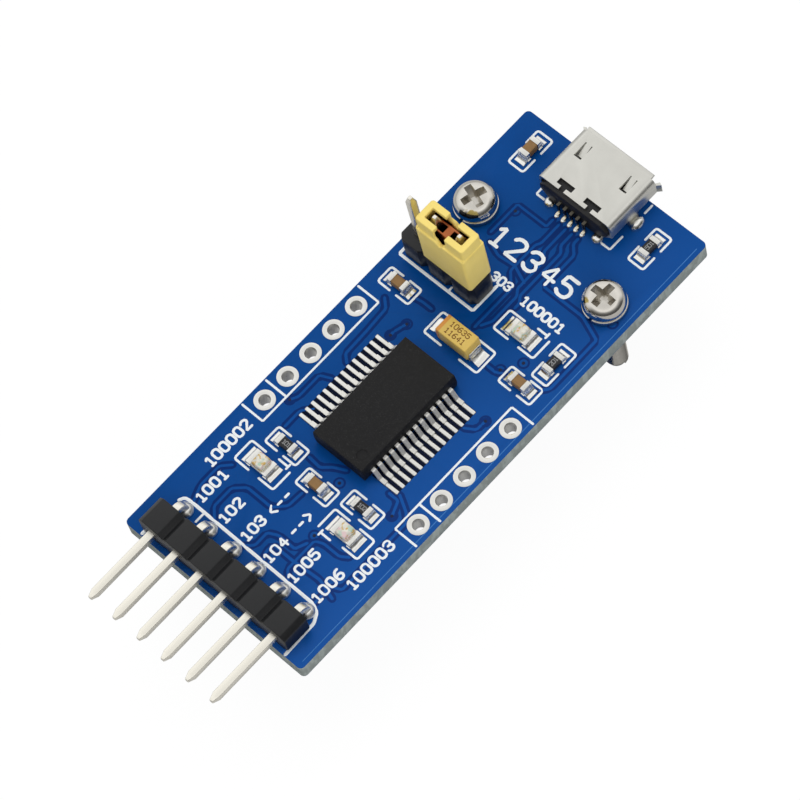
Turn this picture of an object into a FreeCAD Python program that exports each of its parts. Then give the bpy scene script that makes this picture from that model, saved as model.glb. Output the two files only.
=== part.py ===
import FreeCAD, Part
import os
from math import cos, pi, sin
from types import SimpleNamespace

import Sketcher

# USB to serial adapter module: a small blue circuit board that carries a USB receptacle, an interface
# chip, a right-angle pin header, a three-pin selector with its jumper cap, and two mounting screws.
# Millimetres. Origin: the centre of the board's underside. +X: the board's long right edge,
# +Y: the receptacle's end, +Z: the component side.

doc = FreeCAD.newDocument("serial_adapter")

# Driving sizes: alias, value, meaning
SIZE_TABLE = [
    ("board_wide", 18.5, "board across"),
    ("board_long", 45.0, "board along"),
    ("board_thick", 1.6, "glass-fibre laminate"),
    ("corner_round", 0.4, "board corners"),
    ("copper", 0.05, "pads stand proud of the board by this"),
    ("pin_pitch", 2.54, "pin and hole spacing"),
    ("pin_wide", 0.64, "square pins"),
    ("pin_bend", 0.3, "inside radius of a bent pin"),
    ("tip_long", 0.6, "tapered end of a pin"),
    ("tip_wide", 0.3, "flat at a pin's very end"),
    ("tail_long", 1.4, "pin below the board"),
    ("segment_notch", 0.45, "bevel between two segments of a pin strip"),
    ("pin_hole", 1.0, "holes that the soldered pins go through, diameter"),
    ("solder_wide", 1.5, "solder cone at the board, diameter"),
    ("solder_neck", 1.0, "solder cone at the pin, diameter"),
    ("solder_tall", 0.6, "solder cone height"),
    ("row_edge", 1.25, "plated rows, in from the board's long edges"),
    ("row_ahead", 3.38, "plated rows, middle hole in front of the board's middle"),
    ("row_count", 5, "plated holes in a row"),
    ("bore_wide", 1.0, "plated hole, diameter"),
    ("ring_wide", 1.75, "ring round a plated hole, diameter"),
    ("header_count", 6, "pins in the right-angle header"),
    ("header_edge", 3.6, "row of the header's legs, in from the board's front edge"),
    ("header_gap", 0.8, "strip's rear face in front of the legs"),
    ("header_deep", 2.4, "strip along its pins"),
    ("header_reach", 6.7, "pins in front of the strip"),
    ("selector_count", 3, "pins in the selector"),
    ("selector_edge", 2.03, "selector's first pin, in from the board's left edge"),
    ("selector_row", 8.6, "selector's pin row along the board"),
    ("selector_high", 6.0, "selector pins above their strip"),
    ("cap_long", 5.0, "jumper cap across its two pins"),
    ("cap_deep", 2.4, "jumper cap, the other way"),
    ("cap_high", 6.0, "jumper cap"),
    ("cap_wall", 0.42, "jumper cap's wall"),
    ("cap_round", 0.25, "jumper cap's upright edges"),
    ("rim_high", 1.35, "jumper cap's stepped-in rim"),
    ("rim_step", 0.18, "how far the rim steps in on the cap's long sides"),
    ("rim_end_step", 0.09, "how far the rim steps in at the cap's ends"),
    ("saddle_wide", 1.15, "notch in the rim"),
    ("saddle_deep", 1.75, "notch in the rim, down to its point"),
    ("saddle_side", 1.05, "notch in the rim, its upright sides"),
    ("cap_roof", 0.5, "roof over the jumper's clip"),
    ("roof_slot", 0.95, "test slot in the roof"),
    ("clip_thick", 0.15, "jumper clip's sheet"),
    ("clip_long", 3.5, "jumper clip along the two pins"),
    ("clip_web", 0.6, "jumper clip's bridge between the pins"),
    ("shell_wide", 7.4, "receptacle shell"),
    ("shell_high", 2.7, "receptacle shell"),
    ("shell_rear", 18.0, "receptacle shell's rear edge"),
    ("shell_long", 5.1, "receptacle shell, rear edge to the fold of its lips"),
    ("shell_sheet", 0.25, "receptacle shell's sheet"),
    ("shell_slant", 1.0, "slanted lower corners"),
    ("shell_round", 0.6, "rounded upper corners"),
    ("lip_out", 0.42, "flared lips, forwards"),
    ("lip_flare", 0.3, "flared lips, outwards"),
    ("lip_bevel", 0.12, "outer edge of a flared lip stands back by this"),
    ("top_lip", 6.6, "upper lip, across"),
    ("low_lip", 4.6, "lower lip, across"),
    ("ear_high", 1.0, "side lips, upwards"),
    ("latch_side", 2.3, "latch windows from the middle"),
    ("latch_rear", 2.9, "latch windows' rear edge in front of the shell's"),
    ("latch_wide", 0.7, "latch window"),
    ("latch_long", 1.4, "latch window"),
    ("latch_drop", 0.4, "latch tongue's free end below the roof"),
    ("tab_long", 1.12, "latch tongue"),
    ("tab_wide", 0.5, "latch tongue"),
    ("key_side", 1.35, "rear T slots from the middle"),
    ("key_stem", 0.5, "T slot's stem, across"),
    ("key_bar", 1.5, "T slot's bar, across"),
    ("key_deep", 0.85, "T slot, forwards"),
    ("key_start", 0.35, "T slot's bar starts here"),
    ("foot_rear", 1.9, "side feet's rear edge in front of the shell's"),
    ("foot_long", 1.0, "side feet"),
    ("heel_side", 2.45, "rear feet from the middle"),
    ("heel_wide", 0.6, "rear feet"),
    ("heel_out", 0.35, "rear feet behind the shell"),
    ("foot_climb", 0.7, "solder at a side foot, upwards"),
    ("heel_climb", 0.5, "solder at a rear foot, upwards"),
    ("foot_spill", 0.7, "solder at a foot, outwards"),
    ("foot_margin", 0.25, "solder is this much wider than its foot on each side"),
    ("insert_gap", 0.03, "receptacle's insert inside its shell"),
    ("insert_rear", 0.3, "insert behind the shell"),
    ("insert_deep", 1.5, "insert from its rear face to the tongue"),
    ("tongue_wide", 3.9, "contact tongue"),
    ("tongue_thick", 0.6, "contact tongue"),
    ("tongue_long", 3.2, "contact tongue"),
    ("tongue_low", 1.35, "contact tongue's underside above the board"),
    ("contact_count", 5, "receptacle contacts"),
    ("contact_pitch", 0.65, "receptacle contacts"),
    ("contact_wide", 0.26, "receptacle contacts"),
    ("contact_thick", 0.15, "receptacle contacts"),
    ("contact_foot", 0.65, "contact's foot behind the insert"),
    ("contact_stand", 0.22, "contact's riser behind the insert"),
    ("contact_short", 0.65, "contacts end this far short of the tongue's end"),
    ("contact_land", 0.4, "contact's pad, across"),
    ("contact_spill", 0.2, "contact's pad behind its foot"),
    ("chip_ahead", 3.35, "interface chip in front of the board's middle"),
    ("chip_wide", 5.3, "interface chip, without its leads"),
    ("chip_long", 10.2, "interface chip"),
    ("chip_high", 1.75, "interface chip's moulding"),
    ("chip_stand", 0.1, "interface chip above the board"),
    ("chip_draft", 0.12, "moulding's draft, top and bottom"),
    ("chip_band", 0.3, "upright band at the parting line"),
    ("dimple_wide", 0.9, "round dimple beside the first lead"),
    ("dimple_deep", 0.06, "round dimple"),
    ("dimple_edge", 1.0, "dimple's centre from the chip's edges"),
    ("lead_count", 14, "leads on one side of the chip"),
    ("lead_pitch", 0.65, "leads"),
    ("lead_wide", 0.3, "leads"),
    ("lead_thick", 0.15, "leads"),
    ("lead_span", 7.8, "over the tips of the leads"),
    ("lead_foot", 0.6, "flat foot of a lead"),
    ("lead_shelf", 0.35, "flat shoulder of a lead"),
    ("pad_wide", 0.4, "chip's pads"),
    ("pad_inner", 3.0, "chip's pads start this far from the middle"),
    ("pad_outer", 5.15, "chip's pads end this far from the middle"),
    ("small_long", 1.6, "chip resistors and capacitors"),
    ("small_wide", 0.8, "chip resistors and capacitors"),
    ("resistor_high", 0.45, "chip resistors"),
    ("capacitor_high", 0.75, "chip capacitors"),
    ("end_long", 0.35, "metal ends of a small part"),
    ("end_skin", 0.04, "thickness of the metal ends"),
    ("lamp_long", 2.0, "indicator lamps"),
    ("lamp_wide", 1.25, "indicator lamps"),
    ("lamp_base", 0.35, "lamp's base"),
    ("lamp_end", 0.42, "lamp's metal ends"),
    ("lens_high", 0.5, "lamp's lens above its base"),
    ("lens_draft", 0.08, "lens sides lean in"),
    ("lens_long", 1.1, "lamp's lens"),
    ("land_inner", 0.35, "pads reach in under a small part"),
    ("land_outer", 0.5, "pads reach out past a small part"),
    ("land_side", 0.05, "pads are this much wider on each side"),
    ("fillet_share", 0.55, "solder climbs this share of a metal end"),
    ("fillet_top", 0.05, "thickness of the solder at its top"),
    ("tantalum_long", 3.2, "moulded capacitor"),
    ("tantalum_wide", 1.6, "moulded capacitor"),
    ("tantalum_high", 1.5, "moulded capacitor"),
    ("tantalum_draft", 0.07, "moulded capacitor's draft"),
    ("tantalum_strap", 1.2, "moulded capacitor's terminals, across"),
    ("tantalum_sheet", 0.12, "moulded capacitor's terminals"),
    ("tantalum_under", 0.8, "terminals reach in under the block, up to this far from its middle"),
    ("tantalum_x", 0.2, "moulded capacitor"),
    ("tantalum_y", 4.5, "moulded capacitor"),
    ("screw_edge", 2.6, "screws, in from the board's long edges"),
    ("screw_row", 13.8, "screws along the board"),
    ("screw_hole", 2.3, "clearance holes"),
    ("screw_wide", 1.9, "screw shanks, over the crests of their thread"),
    ("screw_long", 10.0, "screws under the head"),
    ("screw_point", 0.3, "chamfer at a screw's end"),
    ("head_wide", 3.5, "pan heads"),
    ("head_high", 1.3, "pan heads"),
    ("head_round", 0.7, "pan heads' rounding"),
    ("recess_wide", 1.9, "cross recess"),
    ("recess_slot", 0.42, "cross recess"),
    ("recess_deep", 0.95, "cross recess"),
    ("recess_point", 0.45, "cross recess at its bottom"),
    ("washer_wide", 3.6, "split lock washers"),
    ("washer_bore", 2.15, "split lock washers"),
    ("washer_thick", 0.5, "split lock washers"),
    ("washer_split", 0.25, "gap in a lock washer"),
    ("washer_lean", 0.12, "gap in a lock washer leans to each side by this"),
]

# Small parts: kind, number, centre across and along the board, direction of their length
SMALL_PARTS = [
    ("resistor", 1, 6.1, 19.45, "Y"),
    ("resistor", 2, 7.0, 7.65, "Y"),
    ("resistor", 3, -4.03, -10.12, "X"),
    ("resistor", 4, 3.95, -10.23, "X"),
    ("capacitor", 1, -6.61, 19.93, "Y"),
    ("capacitor", 2, -6.6, 5.1, "X"),
    ("capacitor", 3, 6.2, 4.78, "X"),
    ("capacitor", 4, 0.07, -11.1, "X"),
    ("lamp", 1, 3.37, 7.98, "X"),
    ("lamp", 2, -4.42, -12.44, "X"),
    ("lamp", 3, 4.36, -12.47, "X"),
]


class Size:
    """A size in millimetres together with the expression that the document keeps for it."""

    def __init__(self, value, text=None):
        self.value = float(value)
        self.text = text or "(%r)" % self.value

    @staticmethod
    def of(item):
        return item if isinstance(item, Size) else Size(item)

    def joined(self, other, sign, value):
        return Size(value, "(%s %s %s)" % (self.text, sign, other.text))

    def __add__(self, other):
        other = Size.of(other)
        return self.joined(other, "+", self.value + other.value)

    def __sub__(self, other):
        other = Size.of(other)
        return self.joined(other, "-", self.value - other.value)

    def __mul__(self, other):
        other = Size.of(other)
        return self.joined(other, "*", self.value * other.value)

    def __truediv__(self, other):
        other = Size.of(other)
        return self.joined(other, "/", self.value / other.value)

    def __neg__(self):
        return Size(0) - self

    def __radd__(self, other):
        return Size.of(other) + self

    def __rsub__(self, other):
        return Size.of(other) - self

    def __rmul__(self, other):
        return Size.of(other) * self


def fill_sheet():
    """Writes the driving sizes to the sheet and gives them back by name."""
    sheet = doc.addObject("Spreadsheet::Sheet", "Sizes")
    rows = list(SIZE_TABLE)
    for kind, number, across, along, _ in SMALL_PARTS:
        rows.append(("%s%d_across" % (kind, number), across, "centre across the board"))
        rows.append(("%s%d_along" % (kind, number), along, "centre along the board"))
    named = {}
    for row, (alias, value, meaning) in enumerate(rows, 1):
        sheet.set("A%d" % row, meaning)
        sheet.set("B%d" % row, str(value))
        sheet.setAlias("B%d" % row, alias)
        named[alias] = Size(value, "Sizes." + alias)
    doc.recompute()
    return SimpleNamespace(**named)


s = fill_sheet()
nodes = []

# Small round features that repeat have this many flat sides
SIDES = 12

# A screw head's rounding is made of this many straight slopes
CROWN_STEPS = 3

# Levels and edges that several pieces share
TOP = s.board_thick
PAD_TOP = TOP + s.copper
STRIP_HIGH = s.pin_pitch
HEADER_AXIS = TOP + STRIP_HIGH / 2
HEADER_LEG = s.header_edge - s.board_long / 2
HEADER_REAR = HEADER_LEG - s.header_gap
HEADER_FRONT = HEADER_REAR - s.header_deep
HEADER_FIRST = -(s.header_count - 1) * s.pin_pitch / 2
SELECTOR_FIRST = s.selector_edge - s.board_wide / 2
ROW_SIDE = s.board_wide / 2 - s.row_edge
ROW_FIRST = -s.row_ahead - (s.row_count - 1) * s.pin_pitch / 2
SCREW_SIDE = s.board_wide / 2 - s.screw_edge
CHIP_MIDDLE = -s.chip_ahead
SHELL_FRONT = s.shell_rear + s.shell_long
SHELL_TOP = TOP + s.shell_high
UNDER_HEAD = TOP + s.washer_thick


def bind(item, **sizes):
    """Ties properties of an object to sizes. A double underscore stands for a dot."""
    for name, size in sizes.items():
        item.setExpression(name.replace("__", "."), Size.of(size).text)


def node(item, label):
    """Registers an object as the sub-part with that name."""
    item.Label = label
    nodes.append(item)
    return item


# Part primitives and booleans
def box(name, low, high):
    item = doc.addObject("Part::Box", name)
    bind(item, Length=high[0] - low[0], Width=high[1] - low[1], Height=high[2] - low[2])
    bind(item, Placement__Base__x=low[0], Placement__Base__y=low[1], Placement__Base__z=low[2])
    return item


def round_bar(name, centre, radius, low, high, top_radius=None):
    """An upright cylinder, or a cone where its top has a radius of its own."""
    kind = "Part::Cylinder" if top_radius is None else "Part::Cone"
    item = doc.addObject(kind, name)
    if top_radius is None:
        bind(item, Radius=radius)
    else:
        bind(item, Radius1=radius, Radius2=top_radius)
    bind(item, Height=Size.of(high) - low)
    bind(item, Placement__Base__x=centre[0], Placement__Base__y=centre[1], Placement__Base__z=low)
    return item


def hopper(name, base, lid, low, high):
    """A block between two level rectangles, each (x low, y low, x high, y high)."""
    item = doc.addObject("Part::Wedge", name)
    bind(item, Xmin=base[0], Xmax=base[2], Zmin=-base[3], Zmax=-base[1])
    bind(item, X2min=lid[0], X2max=lid[2], Z2min=-lid[3], Z2max=-lid[1])
    bind(item, Ymin=low, Ymax=high)
    item.Placement = FreeCAD.Placement(FreeCAD.Vector(), FreeCAD.Rotation(FreeCAD.Vector(1, 0, 0), 90))
    return item


def spike(name, centre, low, high, tapers_up=True):
    """The tapered end of an upright square pin."""
    wide = [centre[0] - s.pin_wide / 2, centre[1] - s.pin_wide / 2]
    wide += [centre[0] + s.pin_wide / 2, centre[1] + s.pin_wide / 2]
    slim = [centre[0] - s.tip_wide / 2, centre[1] - s.tip_wide / 2]
    slim += [centre[0] + s.tip_wide / 2, centre[1] + s.tip_wide / 2]
    if tapers_up:
        return hopper(name, wide, slim, low, high)
    return hopper(name, slim, wide, low, high)


def cut(name, base, tool):
    item = doc.addObject("Part::Cut", name)
    item.Base = base
    item.Tool = tool
    return item


def common(name, base, tool):
    item = doc.addObject("Part::Common", name)
    item.Base = base
    item.Tool = tool
    return item


def fuse(name, pieces):
    item = doc.addObject("Part::MultiFuse", name)
    item.Shapes = pieces
    item.Refine = True
    return item


def group(name, pieces):
    """Separate solids that share one sub-part."""
    item = doc.addObject("Part::Compound", name)
    item.Links = pieces
    return item


# Bodies, sketches and features
def new_body(name):
    return doc.addObject("PartDesign::Body", name)


def origin_item(body, role):
    return next(item for item in body.Origin.OriginFeatures if item.Role == role)


def new_sketch(body, name, role, shift=(0, 0, 0)):
    """An empty sketch on one of the body's origin planes, shifted in the plane's own axes."""
    sketch = body.newObject("Sketcher::SketchObject", name)
    sketch.AttachmentSupport = [(origin_item(body, role), "")]
    sketch.MapMode = "FlatFace"
    bind(
        sketch,
        AttachmentOffset__Base__x=shift[0],
        AttachmentOffset__Base__y=shift[1],
        AttachmentOffset__Base__z=shift[2],
    )
    return sketch


def pin_point(sketch, geometry, point, corner):
    """Holds one point of a sketch at two sizes from the sketch's origin."""
    for kind, size in zip(("DistanceX", "DistanceY"), corner):
        size = Size.of(size)
        rule = Sketcher.Constraint(kind, -1, 1, geometry, point, size.value)
        index = sketch.addConstraint(rule)
        sketch.setExpression("Constraints[%d]" % index, size.text)


def add_outline(sketch, corners):
    """Adds a closed outline of straight lines through the corners."""
    first = sketch.GeometryCount
    spots = [FreeCAD.Vector(Size.of(u).value, Size.of(v).value, 0) for u, v in corners]
    for here, there in zip(spots, spots[1:] + spots[:1]):
        sketch.addGeometry(Part.LineSegment(here, there))
    count = len(corners)
    for index, corner in enumerate(corners):
        following = first + (index + 1) % count
        sketch.addConstraint(Sketcher.Constraint("Coincident", first + index, 2, following, 1))
        pin_point(sketch, first + index, 1, corner)


def add_circle(sketch, centre, radius):
    spot = FreeCAD.Vector(Size.of(centre[0]).value, Size.of(centre[1]).value, 0)
    index = sketch.addGeometry(Part.Circle(spot, FreeCAD.Vector(0, 0, 1), radius.value))
    pin_point(sketch, index, 3, centre)
    rule = sketch.addConstraint(Sketcher.Constraint("Radius", index, radius.value))
    sketch.setExpression("Constraints[%d]" % rule, radius.text)


def rectangle(low, high):
    return [low, (high[0], low[1]), high, (low[0], high[1])]


def many_sided(centre, radius):
    """A regular outline with its corners at that radius."""
    turns = [2 * pi * number / SIDES for number in range(SIDES)]
    return [(centre[0] + radius * cos(turn), centre[1] + radius * sin(turn)) for turn in turns]


def feature(body, kind, name, sketch=None, **settings):
    item = body.newObject("PartDesign::" + kind, name)
    if sketch is not None:
        item.Profile = sketch
    for key, value in settings.items():
        setattr(item, key, value)
    body.Tip = item
    return item


def pad(body, name, sketch, length, **settings):
    item = feature(body, "Pad", name, sketch, **settings)
    bind(item, Length=length)
    return item


def pocket(body, name, sketch, length, **settings):
    item = feature(body, "Pocket", name, sketch, **settings)
    bind(item, Length=length)
    return item


def spread(body, name, originals, role, count, step, reverse=False):
    """Repeats features along one of the body's axes."""
    item = feature(body, "LinearPattern", name)
    item.Originals = originals
    item.Direction = (origin_item(body, role), [""])
    item.Reversed = reverse
    bind(item, Occurrences=count, Length=(count - 1) * step)
    return item


def round_edges(body, name, radius, chosen):
    """Fillets the edges of the tip that the test picks."""
    doc.recompute()
    base = body.Tip
    names = ["Edge%d" % (n + 1) for n, edge in enumerate(base.Shape.Edges) if chosen(edge)]
    item = feature(body, "Fillet", name)
    item.Base = (base, names)
    bind(item, Radius=radius)
    return item


def runs_along(edge, axis):
    """Whether a straight edge runs along that axis, 0 to 2."""
    ends = [vertex.Point for vertex in edge.Vertexes]
    if len(ends) < 2:
        return False
    way = ends[1] - ends[0]
    return abs(abs(way[axis]) - way.Length) < 1e-6


# Circuit board
def make_board():
    body = new_body("board")
    outline = new_sketch(body, "board_outline", "XY_Plane")
    half = (s.board_wide / 2, s.board_long / 2)
    add_outline(outline, rectangle((-half[0], -half[1]), half))
    pad(body, "board_sheet", outline, s.board_thick)
    round_edges(body, "board_corners", s.corner_round, lambda edge: runs_along(edge, 2))

    screws = new_sketch(body, "screw_circles", "XY_Plane")
    for side in (-1, 1):
        add_circle(screws, (side * SCREW_SIDE, s.screw_row), s.screw_hole / 2)
    pocket(body, "screw_holes", screws, s.board_thick, Reversed=True)

    for name, side in (("left", -1), ("right", 1)):
        circle = new_sketch(body, name + "_row_circle", "XY_Plane")
        add_circle(circle, (side * ROW_SIDE, ROW_FIRST), s.bore_wide / 2)
        hole = pocket(body, name + "_row_hole", circle, s.board_thick, Reversed=True)
        spread(body, name + "_row_holes", [hole], "Y_Axis", s.row_count, s.pin_pitch)

    leg = new_sketch(body, "leg_outline", "XY_Plane")
    add_outline(leg, many_sided((HEADER_FIRST, HEADER_LEG), s.pin_hole / 2))
    hole = pocket(body, "leg_hole", leg, s.board_thick, Reversed=True)
    spread(body, "leg_holes", [hole], "X_Axis", s.header_count, s.pin_pitch)

    post = new_sketch(body, "post_outline", "XY_Plane")
    add_outline(post, many_sided((SELECTOR_FIRST, s.selector_row), s.pin_hole / 2))
    hole = pocket(body, "post_hole", post, s.board_thick, Reversed=True)
    spread(body, "post_holes", [hole], "X_Axis", s.selector_count, s.pin_pitch)
    node(body, "circuit_board")


# Plated holes along both edges: a tinned ring on each face, clear of the bore
def make_plated_holes():
    inner = s.bore_wide / 2 / cos(pi / SIDES)
    ring = s.ring_wide / 2
    for name, side in (("left", -1), ("right", 1)):
        body = new_body(name + "_plating")
        centre = (side * ROW_SIDE, ROW_FIRST)
        rings = []
        for face, level in (("upper", TOP), ("lower", -s.copper)):
            plan = new_sketch(body, "%s_%s_ring" % (name, face), "XY_Plane", (0, 0, level))
            add_outline(plan, many_sided(centre, ring))
            add_outline(plan, many_sided(centre, inner))
            rings.append(pad(body, "%s_%s_plating" % (name, face), plan, s.copper))
        spread(body, name + "_plated_row", rings, "Y_Axis", s.row_count, s.pin_pitch)
        node(body, "plated_holes_" + name)


def segment_corners(wide, deep, centre):
    """One bevelled segment of a pin strip, across its pins."""
    bevel = s.segment_notch
    left = centre[0] - wide / 2
    right = centre[0] + wide / 2
    low = centre[1] - deep / 2
    high = centre[1] + deep / 2
    return [
        (left + bevel, low),
        (right - bevel, low),
        (right, low + bevel),
        (right, high - bevel),
        (right - bevel, high),
        (left + bevel, high),
        (left, high - bevel),
        (left, low + bevel),
    ]


def pin_square(centre):
    half = s.pin_wide / 2
    return rectangle((centre[0] - half, centre[1] - half), (centre[0] + half, centre[1] + half))


# Solder of a row of pins: a cone round each pin, on the underside and, for some, on top
def make_pin_solder(name, first, row, count, above):
    body = new_body(name + "_body")
    levels = [("lower", Size(0), -s.solder_tall)]
    if above:
        levels.append(("upper", TOP, TOP + s.solder_tall))
    made = []
    for face, root, crest in levels:
        wide = new_sketch(body, "%s_%s_wide" % (name, face), "XY_Plane", (0, 0, root))
        add_outline(wide, many_sided((first, row), s.solder_wide / 2))
        neck = new_sketch(body, "%s_%s_neck" % (name, face), "XY_Plane", (0, 0, crest))
        add_outline(neck, many_sided((first, row), s.solder_neck / 2))
        cone = feature(body, "AdditiveLoft", "%s_%s_cone" % (name, face), wide)
        cone.Sections = [neck]
        cone.Ruled = True
        made.append(cone)
    square = new_sketch(body, name + "_square", "XY_Plane", (0, 0, -s.solder_tall))
    add_outline(square, pin_square((first, row)))
    hole = pocket(body, name + "_way", square, TOP + s.solder_tall + s.solder_tall, Reversed=True)
    spread(body, name + "_row", made + [hole], "X_Axis", count, s.pin_pitch)
    node(body, name)


# Right-angle header: six square pins bent through a moulded strip
def make_header():
    body = new_body("header_strip")
    outline = new_sketch(body, "header_segment", "XZ_Plane", (0, 0, -HEADER_REAR))
    middle = (HEADER_FIRST, HEADER_AXIS)
    add_outline(outline, segment_corners(s.pin_pitch, STRIP_HIGH, middle))
    segment = pad(body, "header_block_pad", outline, s.header_deep)
    square = new_sketch(body, "header_square", "XZ_Plane", (0, 0, -HEADER_REAR))
    add_outline(square, pin_square(middle))
    way = pocket(body, "header_way", square, s.header_deep, Reversed=True)
    spread(body, "header_segments", [segment, way], "X_Axis", s.header_count, s.pin_pitch)
    node(body, "header_block")

    half = s.pin_wide / 2
    end = HEADER_FRONT - s.header_reach
    for number in range(int(s.header_count.value)):
        across = HEADER_FIRST + number * s.pin_pitch
        wire = new_body("header_wire_%d" % (number + 1))
        side = new_sketch(wire, "header_side_%d" % (number + 1), "YZ_Plane", (0, 0, across))
        corners = [
            (end + s.tip_long, HEADER_AXIS - half),
            (HEADER_LEG - half, HEADER_AXIS - half),
            (HEADER_LEG - half, s.tip_long - s.tail_long),
            (HEADER_LEG + half, s.tip_long - s.tail_long),
            (HEADER_LEG + half, HEADER_AXIS + half),
            (end + s.tip_long, HEADER_AXIS + half),
        ]
        add_outline(side, corners)
        pad(wire, "header_bar_%d" % (number + 1), side, s.pin_wide, SideType="Symmetric")
        inner = (HEADER_LEG - half).value, (HEADER_AXIS - half).value
        outer = (HEADER_LEG + half).value, (HEADER_AXIS + half).value
        for place, radius, name in (
            (inner, s.pin_bend, "inner"),
            (outer, s.pin_bend + s.pin_wide, "outer"),
        ):
            round_edges(
                wire,
                "header_%s_bend_%d" % (name, number + 1),
                radius,
                lambda edge: runs_along(edge, 0)
                and abs(edge.CenterOfMass.y - place[0]) < 1e-6
                and abs(edge.CenterOfMass.z - place[1]) < 1e-6,
            )
        tail = spike(
            "header_tail_%d" % (number + 1),
            (across, HEADER_LEG),
            -s.tail_long,
            s.tip_long - s.tail_long,
            tapers_up=False,
        )
        point = doc.addObject("Part::Wedge", "header_point_%d" % (number + 1))
        bind(point, Xmin=across - s.tip_wide / 2, Xmax=across + s.tip_wide / 2)
        bind(point, X2min=across - half, X2max=across + half)
        bind(point, Ymin=end, Ymax=end + s.tip_long)
        bind(point, Zmin=HEADER_AXIS - s.tip_wide / 2, Zmax=HEADER_AXIS + s.tip_wide / 2)
        bind(point, Z2min=HEADER_AXIS - half, Z2max=HEADER_AXIS + half)
        name = "header_pin_%d" % (number + 1)
        node(fuse(name + "_whole", [wire, tail, point]), name)
    make_pin_solder("header_solder", HEADER_FIRST, HEADER_LEG, s.header_count, above=True)


# Selector: three upright pins in a strip
def make_selector():
    body = new_body("selector_strip")
    outline = new_sketch(body, "selector_segment", "XY_Plane", (0, 0, TOP))
    middle = (SELECTOR_FIRST, s.selector_row)
    add_outline(outline, segment_corners(s.pin_pitch, s.pin_pitch, middle))
    segment = pad(body, "selector_block_pad", outline, STRIP_HIGH)
    square = new_sketch(body, "selector_square", "XY_Plane", (0, 0, TOP))
    add_outline(square, pin_square(middle))
    way = pocket(body, "selector_way", square, STRIP_HIGH, Reversed=True)
    spread(body, "selector_segments", [segment, way], "X_Axis", s.selector_count, s.pin_pitch)
    node(body, "selector_block")

    half = s.pin_wide / 2
    top = TOP + STRIP_HIGH + s.selector_high
    for number in range(int(s.selector_count.value)):
        across = SELECTOR_FIRST + number * s.pin_pitch
        name = "selector_pin_%d" % (number + 1)
        shank = box(
            name + "_shank",
            (across - half, s.selector_row - half, s.tip_long - s.tail_long),
            (across + half, s.selector_row + half, top - s.tip_long),
        )
        centre = (across, s.selector_row)
        point = spike(name + "_point", centre, top - s.tip_long, top)
        tail = spike(name + "_tail", centre, -s.tail_long, s.tip_long - s.tail_long, tapers_up=False)
        node(fuse(name + "_whole", [shank, point, tail]), name)
    make_pin_solder(
        "selector_solder", SELECTOR_FIRST, s.selector_row, s.selector_count, above=False
    )


# Jumper cap: a hollow moulding with a stepped-in rim and a saddle, and the clip inside it
def make_jumper():
    last_pin = SELECTOR_FIRST + (s.selector_count - 1) * s.pin_pitch
    middle = (last_pin - s.pin_pitch / 2, s.selector_row)
    low = TOP + STRIP_HIGH
    top = low + s.cap_high

    def plan(inset_x, inset_y):
        half = (s.cap_long / 2 - inset_x, s.cap_deep / 2 - inset_y)
        return rectangle(
            (middle[0] - half[0], middle[1] - half[1]), (middle[0] + half[0], middle[1] + half[1])
        )

    body = new_body("jumper_moulding")
    skirt = new_sketch(body, "jumper_skirt", "XY_Plane", (0, 0, low))
    add_outline(skirt, plan(0, 0))
    pad(body, "jumper_skirt_pad", skirt, s.cap_high - s.rim_high)
    rim = new_sketch(body, "jumper_rim", "XY_Plane", (0, 0, top - s.rim_high))
    add_outline(rim, plan(s.rim_end_step, s.rim_step))
    pad(body, "jumper_rim_pad", rim, s.rim_high)
    round_edges(body, "jumper_edges", s.cap_round, lambda edge: runs_along(edge, 2))
    inside = new_sketch(body, "jumper_inside", "XY_Plane", (0, 0, low))
    add_outline(inside, plan(s.cap_wall, s.cap_wall))
    pocket(body, "jumper_hollow", inside, s.cap_high - s.cap_roof, Reversed=True)
    slot = new_sketch(body, "jumper_slot", "XY_Plane", (0, 0, top))
    add_outline(slot, plan(s.cap_wall + s.rim_step, (s.cap_deep - s.roof_slot) / 2))
    pocket(body, "jumper_slot_cut", slot, s.cap_roof)
    saddle = new_sketch(body, "jumper_saddle", "XZ_Plane", (0, 0, -middle[1]))
    wide = s.saddle_wide / 2
    corners = [
        (middle[0] - wide, top - s.saddle_side),
        (middle[0], top - s.saddle_deep),
        (middle[0] + wide, top - s.saddle_side),
        (middle[0] + wide, top),
        (middle[0] - wide, top),
    ]
    add_outline(saddle, corners)
    pocket(body, "jumper_saddle_cut", saddle, s.cap_deep + s.rim_step, SideType="Symmetric")
    node(body, "jumper_cap")

    clip = new_body("jumper_spring")
    plan_view = new_sketch(clip, "jumper_clip_plan", "XY_Plane", (0, 0, low + s.cap_wall))
    grip = s.pin_wide / 2
    outer = grip + s.clip_thick
    web = s.clip_web / 2
    reach = s.clip_long / 2
    shape = [(-reach, grip), (-web, grip), (-web, -grip), (-reach, -grip), (-reach, -outer)]
    shape += [(reach, -outer), (reach, -grip), (web, -grip), (web, grip), (reach, grip)]
    shape += [(reach, outer), (-reach, outer)]
    add_outline(plan_view, [(middle[0] + u, middle[1] + v) for u, v in shape])
    clip_high = s.cap_high - s.cap_roof - s.cap_wall - s.cap_wall
    pad(clip, "jumper_clip_pad", plan_view, clip_high)
    node(clip, "jumper_clip")


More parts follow.
